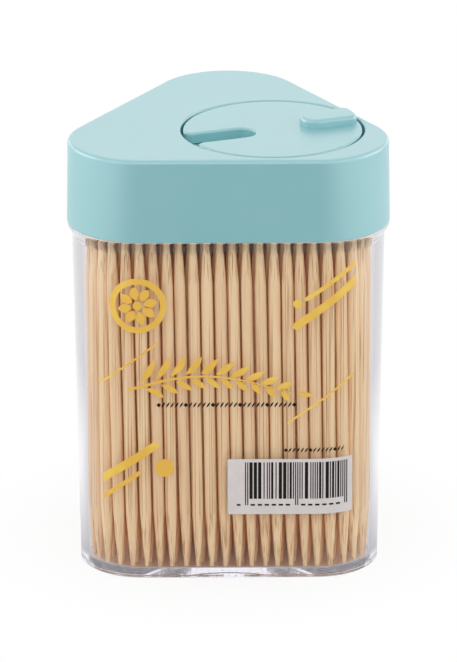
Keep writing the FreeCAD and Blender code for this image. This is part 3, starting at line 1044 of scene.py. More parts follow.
@dataclass
class Dial:
    """Turning dial: notched plate, raised finger grip and the split snap stem under it."""

    material: bpy.types.Material
    axis: Point = DIAL_AXIS
    radius: float = 16.12
    underside: float = 78.2
    top: float = 80.2
    edge_round: float = 0.45
    notch: Finger = Finger(3.45, 16.12, 5.4)
    notch_direction: float = 200
    mouth_round: float = 1.4
    grip: Finger = Finger(5.4, 15.62, 5.8)
    grip_direction: float = 20
    grip_top: float = 81.8
    grip_round: float = 0.75
    grip_corner: float = 1.5
    grip_sunk: float = 0.6
    stem_radius: float = 2.4
    catch_overhang: float = 0.7
    catch_top: float = 76.6
    catch_bottom: float = 75.6
    slit_width: float = 0.8
    slit_stop: float = 0.25

    def plate(self) -> BMesh:
        """Round plate with the notch open at its rim, the notch along +X.

        Returns:
            A closed mesh round the origin.
        """
        half = self.notch.width / 2
        side = half + self.mouth_round
        reach = math.sqrt((self.radius - self.mouth_round) ** 2 - side ** 2)
        swing = math.atan2(side, reach)
        start = (self.radius * math.cos(swing), self.radius * math.sin(swing))
        swing = math.degrees(swing)
        inner = self.notch.start + half
        plate = trace(start, (
            Round((0, 0), 360 - 2 * swing, 140), Round((reach, -side), 90 + swing, 10),
            Straight((inner, -half)), Round((inner, 0), -180, 20), Straight((reach, half)),
            Round((reach, side), 90 + swing, 10)), self.underside)
        raise_flat(plate, self.top - self.underside)
        round_edges(plate, edges_at(plate, self.top), self.edge_round, 4)
        return plate

    def finger_grip(self) -> BMesh:
        """Raised grip, along +X, sunk into the plate.

        Returns:
            A closed mesh that starts at the origin.
        """
        grip = self.grip.to_rim(self.top - self.grip_sunk, self.grip_corner)
        raise_flat(grip, self.grip_top - self.top + self.grip_sunk)
        round_edges(grip, edges_at(grip, self.grip_top), self.grip_round, 6)
        return grip

    def stem(self) -> BMesh:
        """Snap stem with its catch, slit from below so that it gives.

        Returns:
            A closed mesh round the origin.
        """
        catch = self.stem_radius + self.catch_overhang
        into = self.underside + INTO
        stem = revolve([(0, into), (self.stem_radius, into), (self.stem_radius, self.catch_top),
                        (catch, self.catch_top), (self.stem_radius, self.catch_bottom),
                        (0, self.catch_bottom)], steps=48)
        depth = self.underside - self.catch_bottom
        slit = block((0, 0, self.catch_bottom + depth / 2 - self.slit_stop),
                     (catch * 3, self.slit_width, depth))
        return combine(stem, slit, Join.DIFFERENCE)

    def build(self) -> bpy.types.Object:
        """Build the dial and dress it.

        Returns:
            The piece.
        """
        solid = turned(self.plate(), self.notch_direction, self.axis)
        grip = turned(self.finger_grip(), self.grip_direction, self.axis)
        solid = combine(solid, grip, Join.UNION)
        solid = combine(solid, turned(self.stem(), self.notch_direction, self.axis), Join.UNION)
        piece = finished_piece(solid, "mint_dial", self.material, Body.DIAL)
        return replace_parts(piece, "dial")


# ---------------------------------------------------------------- toothpicks

@dataclass(frozen=True)
class Stand:
    """Where a toothpick stands: a point on the floor and the way along its layer."""

    place: Vector
    along: Vector


@dataclass
class Toothpicks:
    """Double-pointed toothpicks in layers that follow the wall, and one in the middle."""

    plan: Plan
    material: bpy.types.Material
    floor: float = 1.5
    length: float = 65
    radius: float = 1.1
    tip_radius: float = 0.4
    tip_round: float = 0.15
    middle_radius: float = 0.81
    taper: float = 11
    pitch: float = 2.36
    layer_pitch: float = 2.25
    outer_offset: float = 9.15
    slack: float = 0.05
    tilt: float = 0.12
    leans: tuple[float, ...] = (-0.85, 0.4, -0.3)
    # tone added to the inner layers and the centre, which paints them in shade
    painted_shade_tone: float = 0.8
    lean_spread: float = 0.25
    widths: Span = (0.94, 1.01)
    sides: int = 9
    probe: float = 0.01
    dice: random.Random = field(default_factory=lambda: random.Random(11))

    def pattern(self) -> bpy.types.Mesh:
        """One toothpick at the origin, with few faces.

        Returns:
            Its mesh, on end.
        """
        bm = bmesh.new()
        flat = self.tip_radius - self.tip_round
        bmesh.ops.create_circle(bm, cap_ends=True, segments=self.sides, radius=flat)
        half = self.taper / 2
        rings = ((self.tip_round, self.tip_radius), (half, self.middle_radius), (self.taper, self.radius),
                 (self.length - self.taper, self.radius), (self.length - half, self.middle_radius),
                 (self.length - self.tip_round, self.tip_radius), (self.length, flat))
        face = next(iter(bm.faces))
        low, past = 0.0, flat
        for height, radius in rings:
            grown = bmesh.ops.extrude_face_region(bm, geom=[face])["geom"]
            verts = verts_in(grown)
            bmesh.ops.translate(bm, verts=verts, vec=UP * (height - low))
            bmesh.ops.scale(bm, verts=verts, vec=(radius / past, radius / past, 1))
            if low > 0:
                bm.faces.remove(face)
            face = next(part for part in grown if isinstance(part, BMFace))
            low, past = height, radius
        bmesh.ops.recalc_face_normals(bm, faces=bm.faces)
        return to_mesh(bm, "toothpick_pattern")

    def third_length(self, offset: float) -> float:
        """Length of a third of a layer, from corner to corner."""
        return self.plan.spacing + 2 * math.sqrt(3) * min(offset, 0) + CORNER_TURN * max(offset, 0)

    def place(self, offset: float, distance: float) -> Vector:
        """Point on the front third of a layer.

        Args:
            offset: How far the layer lies outside the triangle of corner centres.
            distance: Length along it from its left corner.

        Returns:
            The point.
        """
        left, right, _ = self.plan.centres
        radius = max(offset, 0)
        half_arc = radius * math.pi / 3
        if distance < half_arc:
            angle = math.radians(210) + distance / radius
            return left + Vector((math.cos(angle), math.sin(angle), 0)) * radius
        inset = -math.sqrt(3) * min(offset, 0)
        straight = self.plan.spacing - 2 * inset
        along = distance - half_arc
        if along <= straight:
            return left + Vector((inset + along, -offset, 0))
        angle = math.radians(270) + (along - straight) / radius
        return right + Vector((math.cos(angle), math.sin(angle), 0)) * radius

    def stagger(self, layer: int, offset: float) -> float:
        """Share of a step by which a layer is shifted, so that it faces the gaps outside it."""
        return 0.5 if layer % 2 == 0 and offset > 2 * self.radius else 0

    def stand(self, offset: float, distance: float) -> Stand:
        """Place and way along the front third of a layer."""
        place = self.place(offset, distance)
        return Stand(place, (self.place(offset, distance + self.probe) - place).normalized())

    def bundle(self, pattern: bpy.types.Mesh, stands: Sequence[Stand], lean: float, inner: float) -> BMesh:
        """Toothpicks at given places, each turned, tilted and toned by chance.

        Args:
            pattern: One toothpick.
            stands: Where the toothpicks stand on the floor.
            lean: How far they all lean along their layer, in degrees.
            inner: What their layer adds to their tone; above 1 this paints the toothpicks in shade.

        Returns:
            Their mesh, with a tone value on every vertex.
        """
        bm = bmesh.new()
        tone = bm.verts.layers.float.new(TONE)
        half = Vector((0, 0, self.length / 2))
        for stand in stands:
            known = len(bm.verts)
            bm.from_mesh(pattern)
            bm.verts.ensure_lookup_table()
            added = bm.verts[known:]
            side = lean + self.dice.uniform(-self.lean_spread, self.lean_spread)
            tip = Matrix.Rotation(math.radians(side), 4, UP.cross(stand.along))
            tip @= Matrix.Rotation(math.radians(self.dice.uniform(-self.tilt, self.tilt)), 4, stand.along)
            spin = Matrix.Rotation(self.dice.uniform(0, math.tau), 4, "Z")
            width = self.dice.uniform(*self.widths)
            thin = Matrix.Diagonal((width, width, 1, 1))
            nudge = Vector((self.dice.uniform(-self.slack, self.slack),
                            self.dice.uniform(-self.slack, self.slack), 0))
            middle = Matrix.Translation(stand.place + nudge + UP * self.floor + half)
            matrix = middle @ tip @ spin @ thin @ Matrix.Translation(-half)
            bmesh.ops.transform(bm, matrix=matrix, verts=added)
            value = self.dice.random() + inner
            for vert in added:
                vert[tone] = value
        return bm

    def build(self) -> list[bpy.types.Object]:
        """Build all bundles, each in place of the solid that it stands for.

        Returns:
            The pieces, one for each bundle.
        """
        pattern = self.pattern()
        # the centre toothpick and the inner layers get the tone of the painted shade
        stands = {"toothpick_centre": ([Stand(self.plan.middle, Vector((1, 0, 0)))], 0.0, self.painted_shade_tone)}
        offset, layer = self.outer_offset, 1
        reach = self.plan.half_depth * 2 / 3
        while reach + offset >= self.layer_pitch:
            count = int(self.third_length(offset) / self.pitch)
            step = self.third_length(offset) / count
            shift = self.stagger(layer, offset)
            third = [self.stand(offset, (number + shift) * step) for number in range(count)]
            lean = self.leans[layer - 1] if layer <= len(self.leans) else 0.0
            for turn, side in enumerate(("front", "right", "left")):
                spin = Matrix.Rotation(CORNER_TURN * turn, 3, "Z")
                stands[f"toothpicks_{side}_{layer}"] = (
                    [Stand(self.plan.middle + spin @ (stand.place - self.plan.middle), spin @ stand.along)
                     for stand in third], lean, 0.0 if layer == 1 else self.painted_shade_tone)
            offset -= self.layer_pitch
            layer += 1
        pieces = []
        for node, (places, lean, inner) in stands.items():
            bundle = self.bundle(pattern, places, lean, inner)
            piece = finished_piece(bundle, node.replace("tooth", "bamboo_"), self.material, Body.CANISTER,
                                   sharp=60, even=False)
            pieces.append(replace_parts(piece, node))
        bpy.data.meshes.remove(pattern)
        return pieces


# ---------------------------------------------------------------- label and decoration

def gather(parts: Iterable[BMesh]) -> BMesh:
    """Put several meshes into one.

    Args:
        parts: The meshes; they are used up.

    Returns:
        One mesh.
    """
    whole = bmesh.new()
    for part in parts:
        mesh = to_mesh(part, "part")
        whole.from_mesh(mesh)
        bpy.data.meshes.remove(mesh)
    return whole


def disc(centre: Point, radius: float, segments: int = 28) -> BMesh:
    """Flat disc.

    Args:
        centre: Its middle.
        radius: Its radius.
        segments: Its sides, four for a lozenge.

    Returns:
        A mesh of one face.
    """
    bm = bmesh.new()
    bmesh.ops.create_circle(bm, cap_ends=True, segments=segments, radius=radius,
                            matrix=Matrix.Translation((*centre, 0)))
    return bm


def rectangle(left: float, right: float, low: float, high: float) -> BMesh:
    """Flat rectangle."""
    return trace((left, low), (Straight((right, low)), Straight((right, high)), Straight((left, high))))


@dataclass(frozen=True)
class Stripe:
    """Flat stripe with round ends, or with the end near `cut` cut off upright there."""

    start: Point
    end: Point
    width: float
    cut: float | None = None

    def flat(self) -> BMesh:
        """Shape of the stripe on the unrolled wall.

        Returns:
            A flat mesh.
        """
        start, end = Vector(self.start), Vector(self.end)
        half = self.width / 2
        way = (end - start).normalized()
        if self.cut is not None:
            side = 1 if self.cut > (self.start[0] + self.end[0]) / 2 else -1
            past = way * self.width * 2
            start, end = (start, end + past) if side > 0 else (start - past, end)
        length = (end - start).length
        bm = trace((0, -half), (Straight((length, -half)), Round((length, 0), 180, 10),
                                Straight((0, half)), Round((0, 0), 180, 10)))
        turned(bm, math.degrees(math.atan2(way.y, way.x)), tuple(start))
        if self.cut is not None:
            bmesh.ops.bisect_plane(bm, geom=everything(bm), plane_co=(self.cut, 0, 0),
                                   plane_no=(side, 0, 0), clear_outer=True)
        return bm


@dataclass(frozen=True)
class Leaf:
    """Flat leaf, pointed at both ends."""

    base: Point
    length: float
    width: float
    direction: float
    bend: float

    def flat(self) -> BMesh:
        """Shape of the leaf on the unrolled wall.

        Returns:
            A flat mesh.
        """
        bm = bmesh.new()
        bmesh.ops.create_circle(bm, cap_ends=True, segments=28, radius=1)
        for vert in bm.verts:
            x, y, _ = vert.co
            vert.co.y = y * abs(y) * self.width / 2 + self.bend * self.length * (1 - x * x) / 2
            vert.co.x = (x + 1) / 2 * self.length
        return turned(bm, self.direction, self.base)


@dataclass
class Label:
    """Paper label round the right front corner, with a printed bar motif."""

    wall: Wall
    paper: bpy.types.Material
    ink: bpy.types.Material
    left: float = -0.3
    right: float = 22.5
    low: float = 12.5
    high: float = 23.2
    corner: float = 0.3
    lift: float = 0.02
    thickness: float = 0.12
    ink_gap: float = 0.005
    ink_thickness: float = 0.012
    module: float = 0.196
    bars_left: float = 2.84
    bars_count: int = 95
    bars_top: float = 22.6
    bars_low: float = 15.5
    guards_low: float = 14.25
    bar_widths: tuple[int, ...] = (1, 1, 2, 2, 3, 3)
    bar_gaps: tuple[int, ...] = (1, 1, 1, 2, 2)
    dashes: tuple[tuple[float, float, int], ...] = ((-1.5, -0.4, 1), (1.0, 8.6, 6), (10.1, 17.7, 6))
    dash_share: float = 0.62
    dash_heights: Span = (14.15, 14.5)
    dice: random.Random = field(default_factory=lambda: random.Random(5))

    def sheet(self) -> bpy.types.Object:
        """Label itself.

        Returns:
            The piece.
        """
        bm = rectangle(self.left, self.right, self.low, self.high)
        bmesh.ops.bevel(bm, geom=list(bm.verts), offset=self.corner, offset_type="OFFSET", segments=4,
                        profile=0.5, affect="VERTICES", material=-1)
        piece = finished_piece(self.wall.film(bm, self.lift, self.thickness), "paper_label", self.paper,
                               Body.CANISTER, even=False)
        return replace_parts(piece, "label")

    def bars(self) -> list[BMesh]:
        """Upright bars of chance widths between three pairs of longer ones, and a row of dashes.

        Returns:
            Flat meshes on the unrolled wall.
        """
        flats = []
        half = self.bars_count // 2
        guards = (0, 2, half - 1, half + 1, self.bars_count - 3, self.bars_count - 1)
        place = 0
        while place < self.bars_count:
            if place in guards:
                flats.append(self.bar(place, 1, self.guards_low))
                place += 1
            elif any(abs(place - known) < 2 for known in guards):
                place += 1
            else:
                following = min(known for known in guards if known > place)
                width = min(self.dice.choice(self.bar_widths), following - place - 1)
                flats.append(self.bar(place, width, self.bars_low))
                place = min(place + width + self.dice.choice(self.bar_gaps), following - 1)
        for start, end, count in self.dashes:
            step = (end - start) / count
            for number in range(count):
                left = self.bars_left + start + number * step
                flats.append(rectangle(left, left + step * self.dash_share, *self.dash_heights))
        return flats

    def bar(self, place: int, width: int, low: float) -> BMesh:
        """One bar, by its place and width in modules."""
        left = self.bars_left + place * self.module
        return rectangle(left, left + width * self.module, low, self.bars_top)

    def build(self) -> list[bpy.types.Object]:
        """Build the label and its print.

        Returns:
            The label and its print.
        """
        marks = self.wall.film(gather(self.bars()), self.lift + self.thickness + self.ink_gap,
                               self.ink_thickness)
        printed = finished_piece(marks, "label_print", self.ink, Body.CANISTER, even=False)
        return [self.sheet(), printed]


@dataclass(frozen=True)
class Rosette:
    """Ring of full petals round a dot, inside a broad circle."""

    centre: Point = (-16.32, 52.69)
    radius: float = 5.2
    rim: float = 1.15
    dot: float = 0.85
    petals: int = 8
    first_petal: float = 12
    petal_foot: float = 1.1
    petal_length: float = 2.55
    petal_width: float = 1.7
    petal_bend: float = 0.06

    def flats(self) -> list[BMesh]:
        """Shapes of the rosette on the unrolled wall.

        Returns:
            Flat meshes on the unrolled wall.
        """
        x, y = self.centre
        flats = [disc(self.centre, self.dot)]
        for number in range(self.petals):
            angle = number * 360 / self.petals + self.first_petal
            way = math.radians(angle)
            foot = (x + self.petal_foot * math.cos(way), y + self.petal_foot * math.sin(way))
            flats.append(Leaf(foot, self.petal_length, self.petal_width, angle, self.petal_bend).flat())
        ring = disc(self.centre, self.radius, 72)
        inset = bmesh.ops.inset_region(ring, faces=list(ring.faces), thickness=self.rim, use_boundary=True)
        inner = [face for face in ring.faces if face not in inset["faces"]]
        bmesh.ops.delete(ring, geom=inner, context="FACES")
        return [*flats, ring]


@dataclass(frozen=True)
class LeafRow:
    """Leaves along one side of the sprig: side is 1 above the stem and -1 below it."""

    side: int
    shift: float
    length: float
    width: float


@dataclass(frozen=True)
class Sprig:
    """Curved, tapering stem with slender leaves on both sides, none of them touching it.

    Attributes:
        span: Left and right end of the stem.
        height: Height of its left end.
        rise: How high it arches.
        arch: Half waves in the arch.
        joints: Pieces of the stem, with a pair of leaves at each joint between them.
        stem: Half the stem's width at its left end.
        stem_taper: Share of that width lost at its right end.
        leaf: Length at the left end, and what each further joint takes off.
        gap: Distance of a leaf from the stem there, and what each further joint takes off.
        turn: Degrees between a leaf and the stem there, and what each further joint takes off.
        rows: Leaves above and below, their length as a share of `leaf`.
        bend: Bend of every leaf, towards the tip.
        tip: Leaf at the right end: its distance, length, width, direction and bend.
    """

    span: Span = (-18.0, 11.6)
    height: float = 36.6
    rise: float = 2.6
    arch: float = 1.1
    joints: int = 11
    stem: float = 0.3
    stem_taper: float = 0.7
    leaf: Span = (5.4, 0.22)
    gap: Span = (0.55, 0.02)
    turn: Span = (46, 1)
    rows: tuple[LeafRow, ...] = (LeafRow(1, -0.5, 1.0, 1.25), LeafRow(-1, 0.4, 0.72, 1.1))
    bend: float = 0.1
    tip: tuple[float, ...] = (0.6, 2.9, 0.95, -8, 0.05)

    def joint(self, number: int) -> Vector:
        """Point on the stem's middle line.

        Args:
            number: Its place, counted from the left end.

        Returns:
            The point.
        """
        share = number / self.joints
        left, right = self.span
        return Vector((left + (right - left) * share,
                       self.height + self.rise * math.sin(share * math.pi * self.arch), 0))

    def edge(self, side: int) -> list[Vector]:
        """Upper or lower edge of the stem, from left to right.

        Args:
            side: 1 for the upper edge, -1 for the lower one.

        Returns:
            Its points.
        """
        return [self.joint(number) + Vector(
            (0, side * self.stem * (1 - self.stem_taper * number / self.joints), 0))
            for number in range(self.joints + 1)]

    def flats(self) -> list[BMesh]:
        """Shapes of the sprig on the unrolled wall.

        Returns:
            Flat meshes on the unrolled wall.
        """
        stem = bmesh.new()
        outline = [*self.edge(-1), *reversed(self.edge(1))]
        verts = chain(stem, outline)[:len(outline)]
        stem.edges.new((verts[-1], verts[0]))
        bmesh.ops.edgeloop_fill(stem, edges=stem.edges)
        flats = [stem]
        for number in range(1, self.joints):
            x, y, _ = self.joint(number)
            slope = self.joint(number) - self.joint(number - 1)
            along = math.degrees(math.atan2(slope.y, slope.x))
            length, gap, turn = (first - less * number for first, less in (self.leaf, self.gap, self.turn))
            for row in self.rows:
                flats.append(Leaf((x + row.shift, y + row.side * gap), length * row.length, row.width,
                                  along + row.side * turn, -row.side * self.bend).flat())
        x, y, _ = self.joint(self.joints)
        distance, length, width, direction, bend = self.tip
        flats.append(Leaf((x + distance, y), length, width, direction, bend).flat())
        return flats


@dataclass(frozen=True)
class Rule:
    """Row of small slanting leaves with a lozenge at every sixth place."""

    left: float
    right: float
    height: float
    size: float
    step: float
    lozenge_every: int = 6
    lozenge: float = 0.85
    leaf_shift: float = 0.65
    leaf_length: float = 2.4
    leaf_width: float = 0.6
    leaf_slant: float = 57
    leaf_bend: float = 0.05

    def flats(self) -> list[BMesh]:
        """Shapes of the rule on the unrolled wall.

        Returns:
            Flat meshes on the unrolled wall.
        """
        flats = []
        for number in range(int((self.right - self.left) / self.step) + 1):
            x = self.left + number * self.step
            if number % self.lozenge_every == 0:
                flats.append(disc((x, self.height), self.size * self.lozenge, 4))
            else:
                foot = (x - self.leaf_shift * self.size, self.height - self.size)
                flats.append(Leaf(foot, self.size * self.leaf_length, self.size * self.leaf_width,
                                  self.leaf_slant, self.leaf_bend).flat())
        return flats


@dataclass
class Decoration:
    """Films on the front of the canister: gold stripes, dots, a rosette and a sprig, and two dark rules."""

    wall: Wall
    gold: bpy.types.Material
    ink: bpy.types.Material
    lift: float = 0.02
    thickness: float = 0.02
    stripes: tuple[Stripe, ...] = (
        Stripe((13.87, 53.88), (22.86, 60.09), 0.8, cut=22.9),
        Stripe((12.09, 48.78), (23.04, 56.86), 1.45, cut=23.0),
        Stripe((-23.58, 37.24), (-12.83, 45.55), 0.36),
        Stripe((10.66, 30.25), (22.78, 39.04), 0.36),
        Stripe((-23.22, 18.84), (-13.35, 25.83), 1.5, cut=-23.2),
        Stripe((-23.27, 15.11), (-16.20, 20.55), 0.8, cut=-23.25),
    )
    dots: tuple[tuple[Point, float], ...] = (((12.28, 53.0), 0.83), ((-11.62, 21.53), 1.73))
    rosette: Rosette = Rosette()
    sprig: Sprig = Sprig()
    rule: Rule = Rule(-12.6, 11.9, 33.7, 0.52, 0.81)
    small_rule: Rule = Rule(10.2, 20.6, 24.9, 0.46, 0.74)

    def build(self) -> list[bpy.types.Object]:
        """Build all films.

        Returns:
            The pieces.
        """
        films = (("foil_stripes", self.gold, [stripe.flat() for stripe in self.stripes]),
                 ("foil_dots", self.gold, [disc(*dot) for dot in self.dots]),
                 ("foil_rosette", self.gold, self.rosette.flats()),
                 ("foil_sprig", self.gold, self.sprig.flats()),
                 ("ink_rule", self.ink, self.rule.flats()),
                 ("ink_rule_small", self.ink, self.small_rule.flats()))
        return [finished_piece(self.wall.film(gather(flats), self.lift, self.thickness), name, material,
                               Body.CANISTER, even=False) for name, material, flats in films]


# ---------------------------------------------------------------- studio

@dataclass(frozen=True)
class Softbox:
    """Flat lamp that looks at the dispenser; its angles are in degrees, the rest in metres and watts."""

    name: str
    azimuth: float
    elevation: float
    distance: float
    width: float
    height: float
    power: float

    def build(self, target: Vector) -> None:
        """Hang the lamp.

        Args:
            target: Point that it looks at.
        """
        lamp = bpy.data.lights.new(self.name, "AREA")
        lamp.shape = "RECTANGLE"
        lamp.size, lamp.size_y, lamp.energy = self.width, self.height, self.power
        holder = put_up(self.name, lamp)
        back = direction(self.azimuth, self.elevation)
        holder.location = target + back * self.distance
        holder.rotation_euler = back.to_track_quat("Z", "Y").to_euler()
        holder.visible_camera = holder.visible_transmission = False


def direction(azimuth: float, elevation: float) -> Vector:
    """Way from the target to a viewer, in degrees; azimuth 0 is in front, positive to the right."""
    turn, rise = math.radians(azimuth), math.radians(elevation)
    return Vector((math.sin(turn) * math.cos(rise), -math.cos(turn) * math.cos(rise), math.sin(rise)))


@dataclass
class Studio:
    """Pale floor, white surroundings, soft lamps and the camera; lengths are in metres, angles in degrees.

    Attributes:
        target: Point that the camera and the lamps look at.
        azimuth: Where the camera stands round it.
        elevation: How far the camera looks down.
        roll: Turn of the camera about its own axis.
        distance: From the camera to the target.
        focal_pixels: Focal length in pixels.
        sensor: Width of the camera's sensor in millimetres.
        clip: Nearest and furthest distance that the camera sees.
        dome_level: Strength at which the surroundings light the dispenser.
        through_level: What clear plastic lets through of the white backdrop.
        guided_colour: Tint of the rays that are guided along the plastic.
        guided_depth: Mirrorings past which a ray counts as guided.
        front_room: Strength of the room in front of the dispenser, as mirrored in it.
        front_ways: Y of the ways between the darker room in front and the white one.
        front_gloss: Strength of the floor in front, as mirrored in the dispenser.
        front_floor: Y of the floor between the darker front and the white back.
        side_floor: Distance to the side at which the darker front of the floor ends.
        wall_level: Strength of the floor further away, as seen through a mirroring wall.
        wall_floor: Distances over which the floor goes down to that level.
        shadow: How much of the floor's white is kept right by the dispenser.
        shadow_reach: Distances over which the shadow fades.
        foot_sides: Distances over which the covered floor ends at the plan's sides.
        foot_corners: Distances over which it ends at the plan's corners.
        floor_colours: The two tones of the floor.
        floor_speck: Fineness of the change between them.
        painted_foot_shade: Painted shade on the floor under the toothpicks, a warm brown that stands in for
            the dim light reaching it through them.
        floor_radius: Size of the floor.
        floor_gap: How far the floor lies under the foot.
        bounces: Bounces of light through clear plastic.
        soft_bounces: Bounces of scattered light.
        softboxes: The lamps.
    """

    target: Vector = field(default_factory=lambda: Vector((0, -0.00446, 0.04012)))
    azimuth: float = -0.2069
    elevation: float = 20.0246
    roll: float = -0.1336
    distance: float = 1.1126
    focal_pixels: float = 6107.0
    sensor: float = 36.0
    clip: Span = (0.05, 50)
    dome_level: float = 0.47
    through_level: float = 0.8
    guided_colour: Colour = (250, 248, 255)
    guided_depth: float = 1.5
    front_room: float = 0.3
    front_ways: Span = (-0.97, -0.45)
    front_gloss: float = 0.04
    front_floor: Span = (-0.05, 0.03)
    side_floor: Span = (0.12, 0.18)
    wall_level: float = 0.6
    wall_floor: Span = (0.045, 0.11)
    shadow: float = 0.88
    shadow_reach: Span = (0.024, 0.05)
    foot_sides: Span = (0.0185, 0.0205)
    foot_corners: Span = (0.025, 0.029)
    floor_colours: tuple[Colour, Colour] = ((240, 240, 241), (246, 246, 247))
    floor_speck: float = 40.0
    painted_foot_shade: Colour = (236, 208, 184)
    floor_radius: float = 3.0
    floor_gap: float = 0.00005
    bounces: int = 160
    soft_bounces: int = 12
    softboxes: tuple[Softbox, ...] = (
        Softbox("lamp_behind", 180, 20, 1.2, 1.8, 0.6, 1.6),
        Softbox("lamp_above", 180, 60, 1.2, 1.0, 0.6, 1.4),
        Softbox("lamp_left", -98, 17, 0.9, 0.9, 0.6, 2.7),
        Softbox("lamp_right", 98, 17, 0.9, 0.9, 0.6, 2.4),
        Softbox("rear_left", -146, 4, 1.1, 0.5, 0.5, 0.6),
        Softbox("rear_right", 146, 4, 1.1, 0.5, 0.5, 0.6),
        Softbox("fill_left", -28, 22, 1.1, 1.2, 0.9, 2.45),
        Softbox("fill_right", 28, 22, 1.1, 1.2, 0.9, 2.45),
    )

    def camera(self) -> None:
        """Set the camera up."""
        data = bpy.data.cameras.new("camera")
        data.sensor_width = self.sensor
        data.lens = self.sensor * self.focal_pixels / max(IMAGE_WIDTH, IMAGE_HEIGHT)
        data.clip_start, data.clip_end = self.clip
        holder = put_up("camera", data)
        back = direction(self.azimuth, self.elevation)
        across = UP.cross(back).normalized()
        upward = back.cross(across)
        roll = math.radians(self.roll)
        right = across * math.cos(roll) + upward * math.sin(roll)
        top = upward * math.cos(roll) - across * math.sin(roll)
        holder.matrix_world = Matrix.Translation(self.target + back * self.distance) @ Matrix(
            (right, top, back)).transposed().to_4x4()
        bpy.context.scene.camera = holder

    def backdrop(self, nodes: Nodes) -> tuple[bpy.types.NodeSocket, ...]:
        """What the white backdrop shows through clear plastic, dimmer by one wall and tinted along a foot.

        Args:
            nodes: Nodes of the world or of the floor.

        Returns:
            Its colour, its strength and the mask of rays guided along the plastic.
        """
        path = nodes.add("LightPath").outputs
        guided = nodes.maths("GREATER_THAN", path["Glossy Depth"], self.guided_depth)
        through = nodes.maths("SUBTRACT", path["Is Transmission Ray"], guided, clamp=True)
        return (nodes.mix(guided, (1, 1, 1, 1), linear(*self.guided_colour)),
                nodes.spread(through, MASK, 1.0, self.through_level), guided)

    def mirrored(self, nodes: Nodes) -> bpy.types.NodeSocket:
        """Mask of the rays that a surface mirrors, and that don't pass through plastic."""
        path = nodes.add("LightPath").outputs
        return nodes.maths("SUBTRACT", path["Is Glossy Ray"], path["Is Transmission Ray"], clamp=True)

    def surroundings(self) -> None:
        """White world: full strength where it shows, lower where it lights, darker in front when mirrored."""
        world = bpy.data.worlds.new("white_room")
        world.use_nodes = True
        nodes = Nodes(world.node_tree)
        path = nodes.add("LightPath").outputs
        shown = nodes.maths("MAXIMUM", path["Is Camera Ray"], path["Is Glossy Ray"])
        shown = nodes.maths("MAXIMUM", shown, path["Is Transmission Ray"])
        way = nodes.add("SeparateXYZ", {0: nodes.add("TexCoord").outputs["Generated"]}).outputs["Y"]
        darker = nodes.maths("MULTIPLY", self.mirrored(nodes),
                             nodes.spread(way, self.front_ways, 1.0 - self.front_room, 0.0))
        lit = nodes.maths("MULTIPLY", nodes.spread(shown, MASK, self.dome_level),
                          nodes.maths("SUBTRACT", 1.0, darker))
        colour, strength, _ = self.backdrop(nodes)
        light = nodes.add("Background", {"Color": colour, "Strength": nodes.maths("MULTIPLY", lit, strength)})
        nodes.add("OutputWorld", {"Surface": light.outputs[0]})
        bpy.context.scene.world = world

    def under_foot(self, nodes: Nodes, place: bpy.types.NodeSocket) -> bpy.types.NodeSocket:
        """Mask of the floor that the canister stands over, where the floor is painted in shade.

        Args:
            nodes: Nodes of the floor.
            place: Object coordinates.

        Returns:
            The mask.
        """
        beside = nodes.add("VectorMath", {0: place, 1: Plan().middle * MILLIMETRE}, operation="SUBTRACT")
        reach = None
        for side in range(CORNERS):
            heading = CORNER_TURN * side - math.pi / 2
            way = (math.cos(heading), math.sin(heading), 0)
            along = nodes.add("VectorMath", {0: beside.outputs[0], 1: way}, operation="DOT_PRODUCT")
            value = along.outputs["Value"]
            reach = value if reach is None else nodes.maths("MAXIMUM", reach, value)
        far = nodes.add("VectorMath", {0: beside.outputs[0]}, operation="LENGTH").outputs["Value"]
        return nodes.maths("MULTIPLY", nodes.spread(reach, self.foot_sides, 1.0, 0.0),
                           nodes.spread(far, self.foot_corners, 1.0, 0.0))

    def floor_as_mirrored(self, nodes: Nodes, place: bpy.types.NodeSocket, far: bpy.types.NodeSocket
                          ) -> tuple[bpy.types.NodeSocket, bpy.types.Node]:
        """How the floor shows in a mirroring surface.

        Args:
            nodes: Nodes of the floor.
            place: Object coordinates.
            far: Distance from the origin.

        Returns:
            Mask of the rays that it is for, and its light.
        """
        path = nodes.add("LightPath").outputs
        once = nodes.maths("COMPARE", path["Glossy Depth"], 1.0, 0.5)
        spot = nodes.add("SeparateXYZ", {0: place}).outputs
        aside = nodes.maths("ABSOLUTE", spot["X"])
        bright = nodes.maths("MAXIMUM", nodes.spread(spot["Y"], self.front_floor, self.front_gloss),
                             nodes.spread(aside, self.side_floor, self.front_gloss))
        past_wall = nodes.spread(far, self.wall_floor, 1.0, self.wall_level)
        past_wall = nodes.spread(path["Is Transmission Ray"], MASK, 1.0, past_wall)
        level = nodes.maths("MULTIPLY", bright, past_wall)
        return (nodes.maths("MAXIMUM", self.mirrored(nodes), once),
                nodes.add("Emission", {"Color": (1, 1, 1, 1), "Strength": level}))

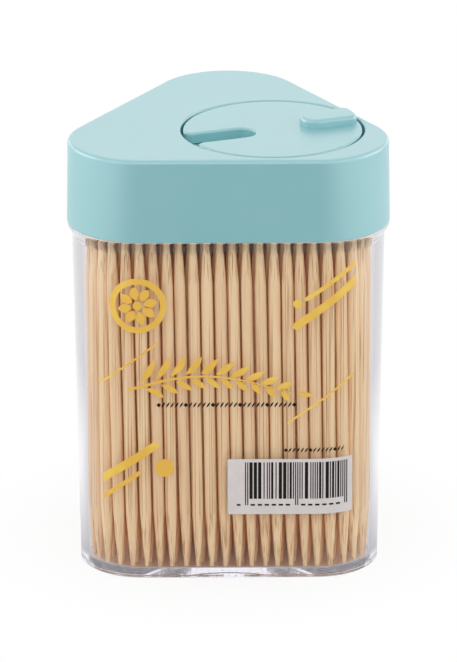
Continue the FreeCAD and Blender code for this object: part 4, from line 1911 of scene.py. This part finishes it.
    def floor_finish(self) -> bpy.types.Material:
        """Pale floor that keeps a soft shadow near the dispenser and fades into the surroundings; under the
        canister it is painted in a warm shade.

        Returns:
            The material.
        """
        material, nodes = new_material("pale_floor")
        place = nodes.add("TexCoord").outputs["Object"]
        far = nodes.add("VectorMath", {0: place}, operation="LENGTH").outputs["Value"]
        covered = self.under_foot(nodes, place)
        colour, dimmed, guided = self.backdrop(nodes)
        clean = nodes.maths("MAXIMUM", nodes.spread(far, self.shadow_reach, self.shadow), guided)
        clean = nodes.maths("SUBTRACT", clean, covered, clamp=True)
        path = nodes.add("LightPath").outputs
        seen = nodes.maths("MAXIMUM", path["Is Camera Ray"], path["Is Transmission Ray"])
        speck = nodes.add("TexNoise", {"Vector": place, "Scale": self.floor_speck}).outputs["Fac"]
        pale = nodes.mix(speck, *(linear(*tone) for tone in self.floor_colours))
        # under the canister the floor is painted in a warm shade, standing in for the light that the
        # toothpicks filter and dim
        matt = nodes.add("BsdfDiffuse", {"Color": nodes.mix(covered, pale, linear(*self.painted_foot_shade))})
        white = nodes.add("Emission", {"Color": colour, "Strength": dimmed})
        shown = nodes.add("MixShader", {0: nodes.maths("MULTIPLY", seen, clean), 1: matt.outputs[0],
                                        2: white.outputs[0]})
        mirror, reflected = self.floor_as_mirrored(nodes, place, far)
        nodes.finish(nodes.add("MixShader", {0: nodes.maths("SUBTRACT", 1.0, mirror),
                                             1: reflected.outputs[0], 2: shown.outputs[0]}))
        return material

    def floor(self) -> None:
        """Lay the floor just under the foot."""
        bm = bmesh.new()
        bmesh.ops.create_circle(bm, cap_ends=True, segments=96, radius=self.floor_radius,
                                matrix=Matrix.Translation((0, 0, -self.floor_gap)))
        floor = put_up("studio_floor", to_mesh(bm, "studio_floor"))
        floor.data.materials.append(self.floor_finish())

    def build(self) -> None:
        """Build the whole studio."""
        self.surroundings()
        self.floor()
        for softbox in self.softboxes:
            softbox.build(self.target)
        self.camera()
        scene = bpy.context.scene
        scene.view_settings.view_transform = "Standard"
        for kind in ("max_bounces", "transmission_bounces", "glossy_bounces"):
            setattr(scene.cycles, kind, self.bounces)
        scene.cycles.diffuse_bounces = self.soft_bounces


def main() -> None:
    """Build the dispenser's pieces in order, then the studio."""
    logging.basicConfig(level=logging.INFO, format="%(name)s: %(message)s")
    plan = Plan()
    wall = Wall(plan)
    mint = SatinPlastic(name="mint_satin", colour=(139, 199, 205), shade=(135, 197, 202)).material()
    paper = Printed(name="label_paper", colour=(221, 215, 214), shade=(213, 206, 206),
                    roughness=0.45).material()
    ink = Printed(name="dark_ink", colour=(26, 21, 19), shade=(36, 30, 27)).material()
    gold = Foil().material()
    Canister(wall).build()
    Lid(plan, mint).build()
    Dial(mint).build()
    Toothpicks(plan, Bamboo().material()).build()
    Label(wall, paper, ink).build()
    Decoration(wall, gold, ink).build()
    Studio().build()


if __name__ == "__main__":
    main()
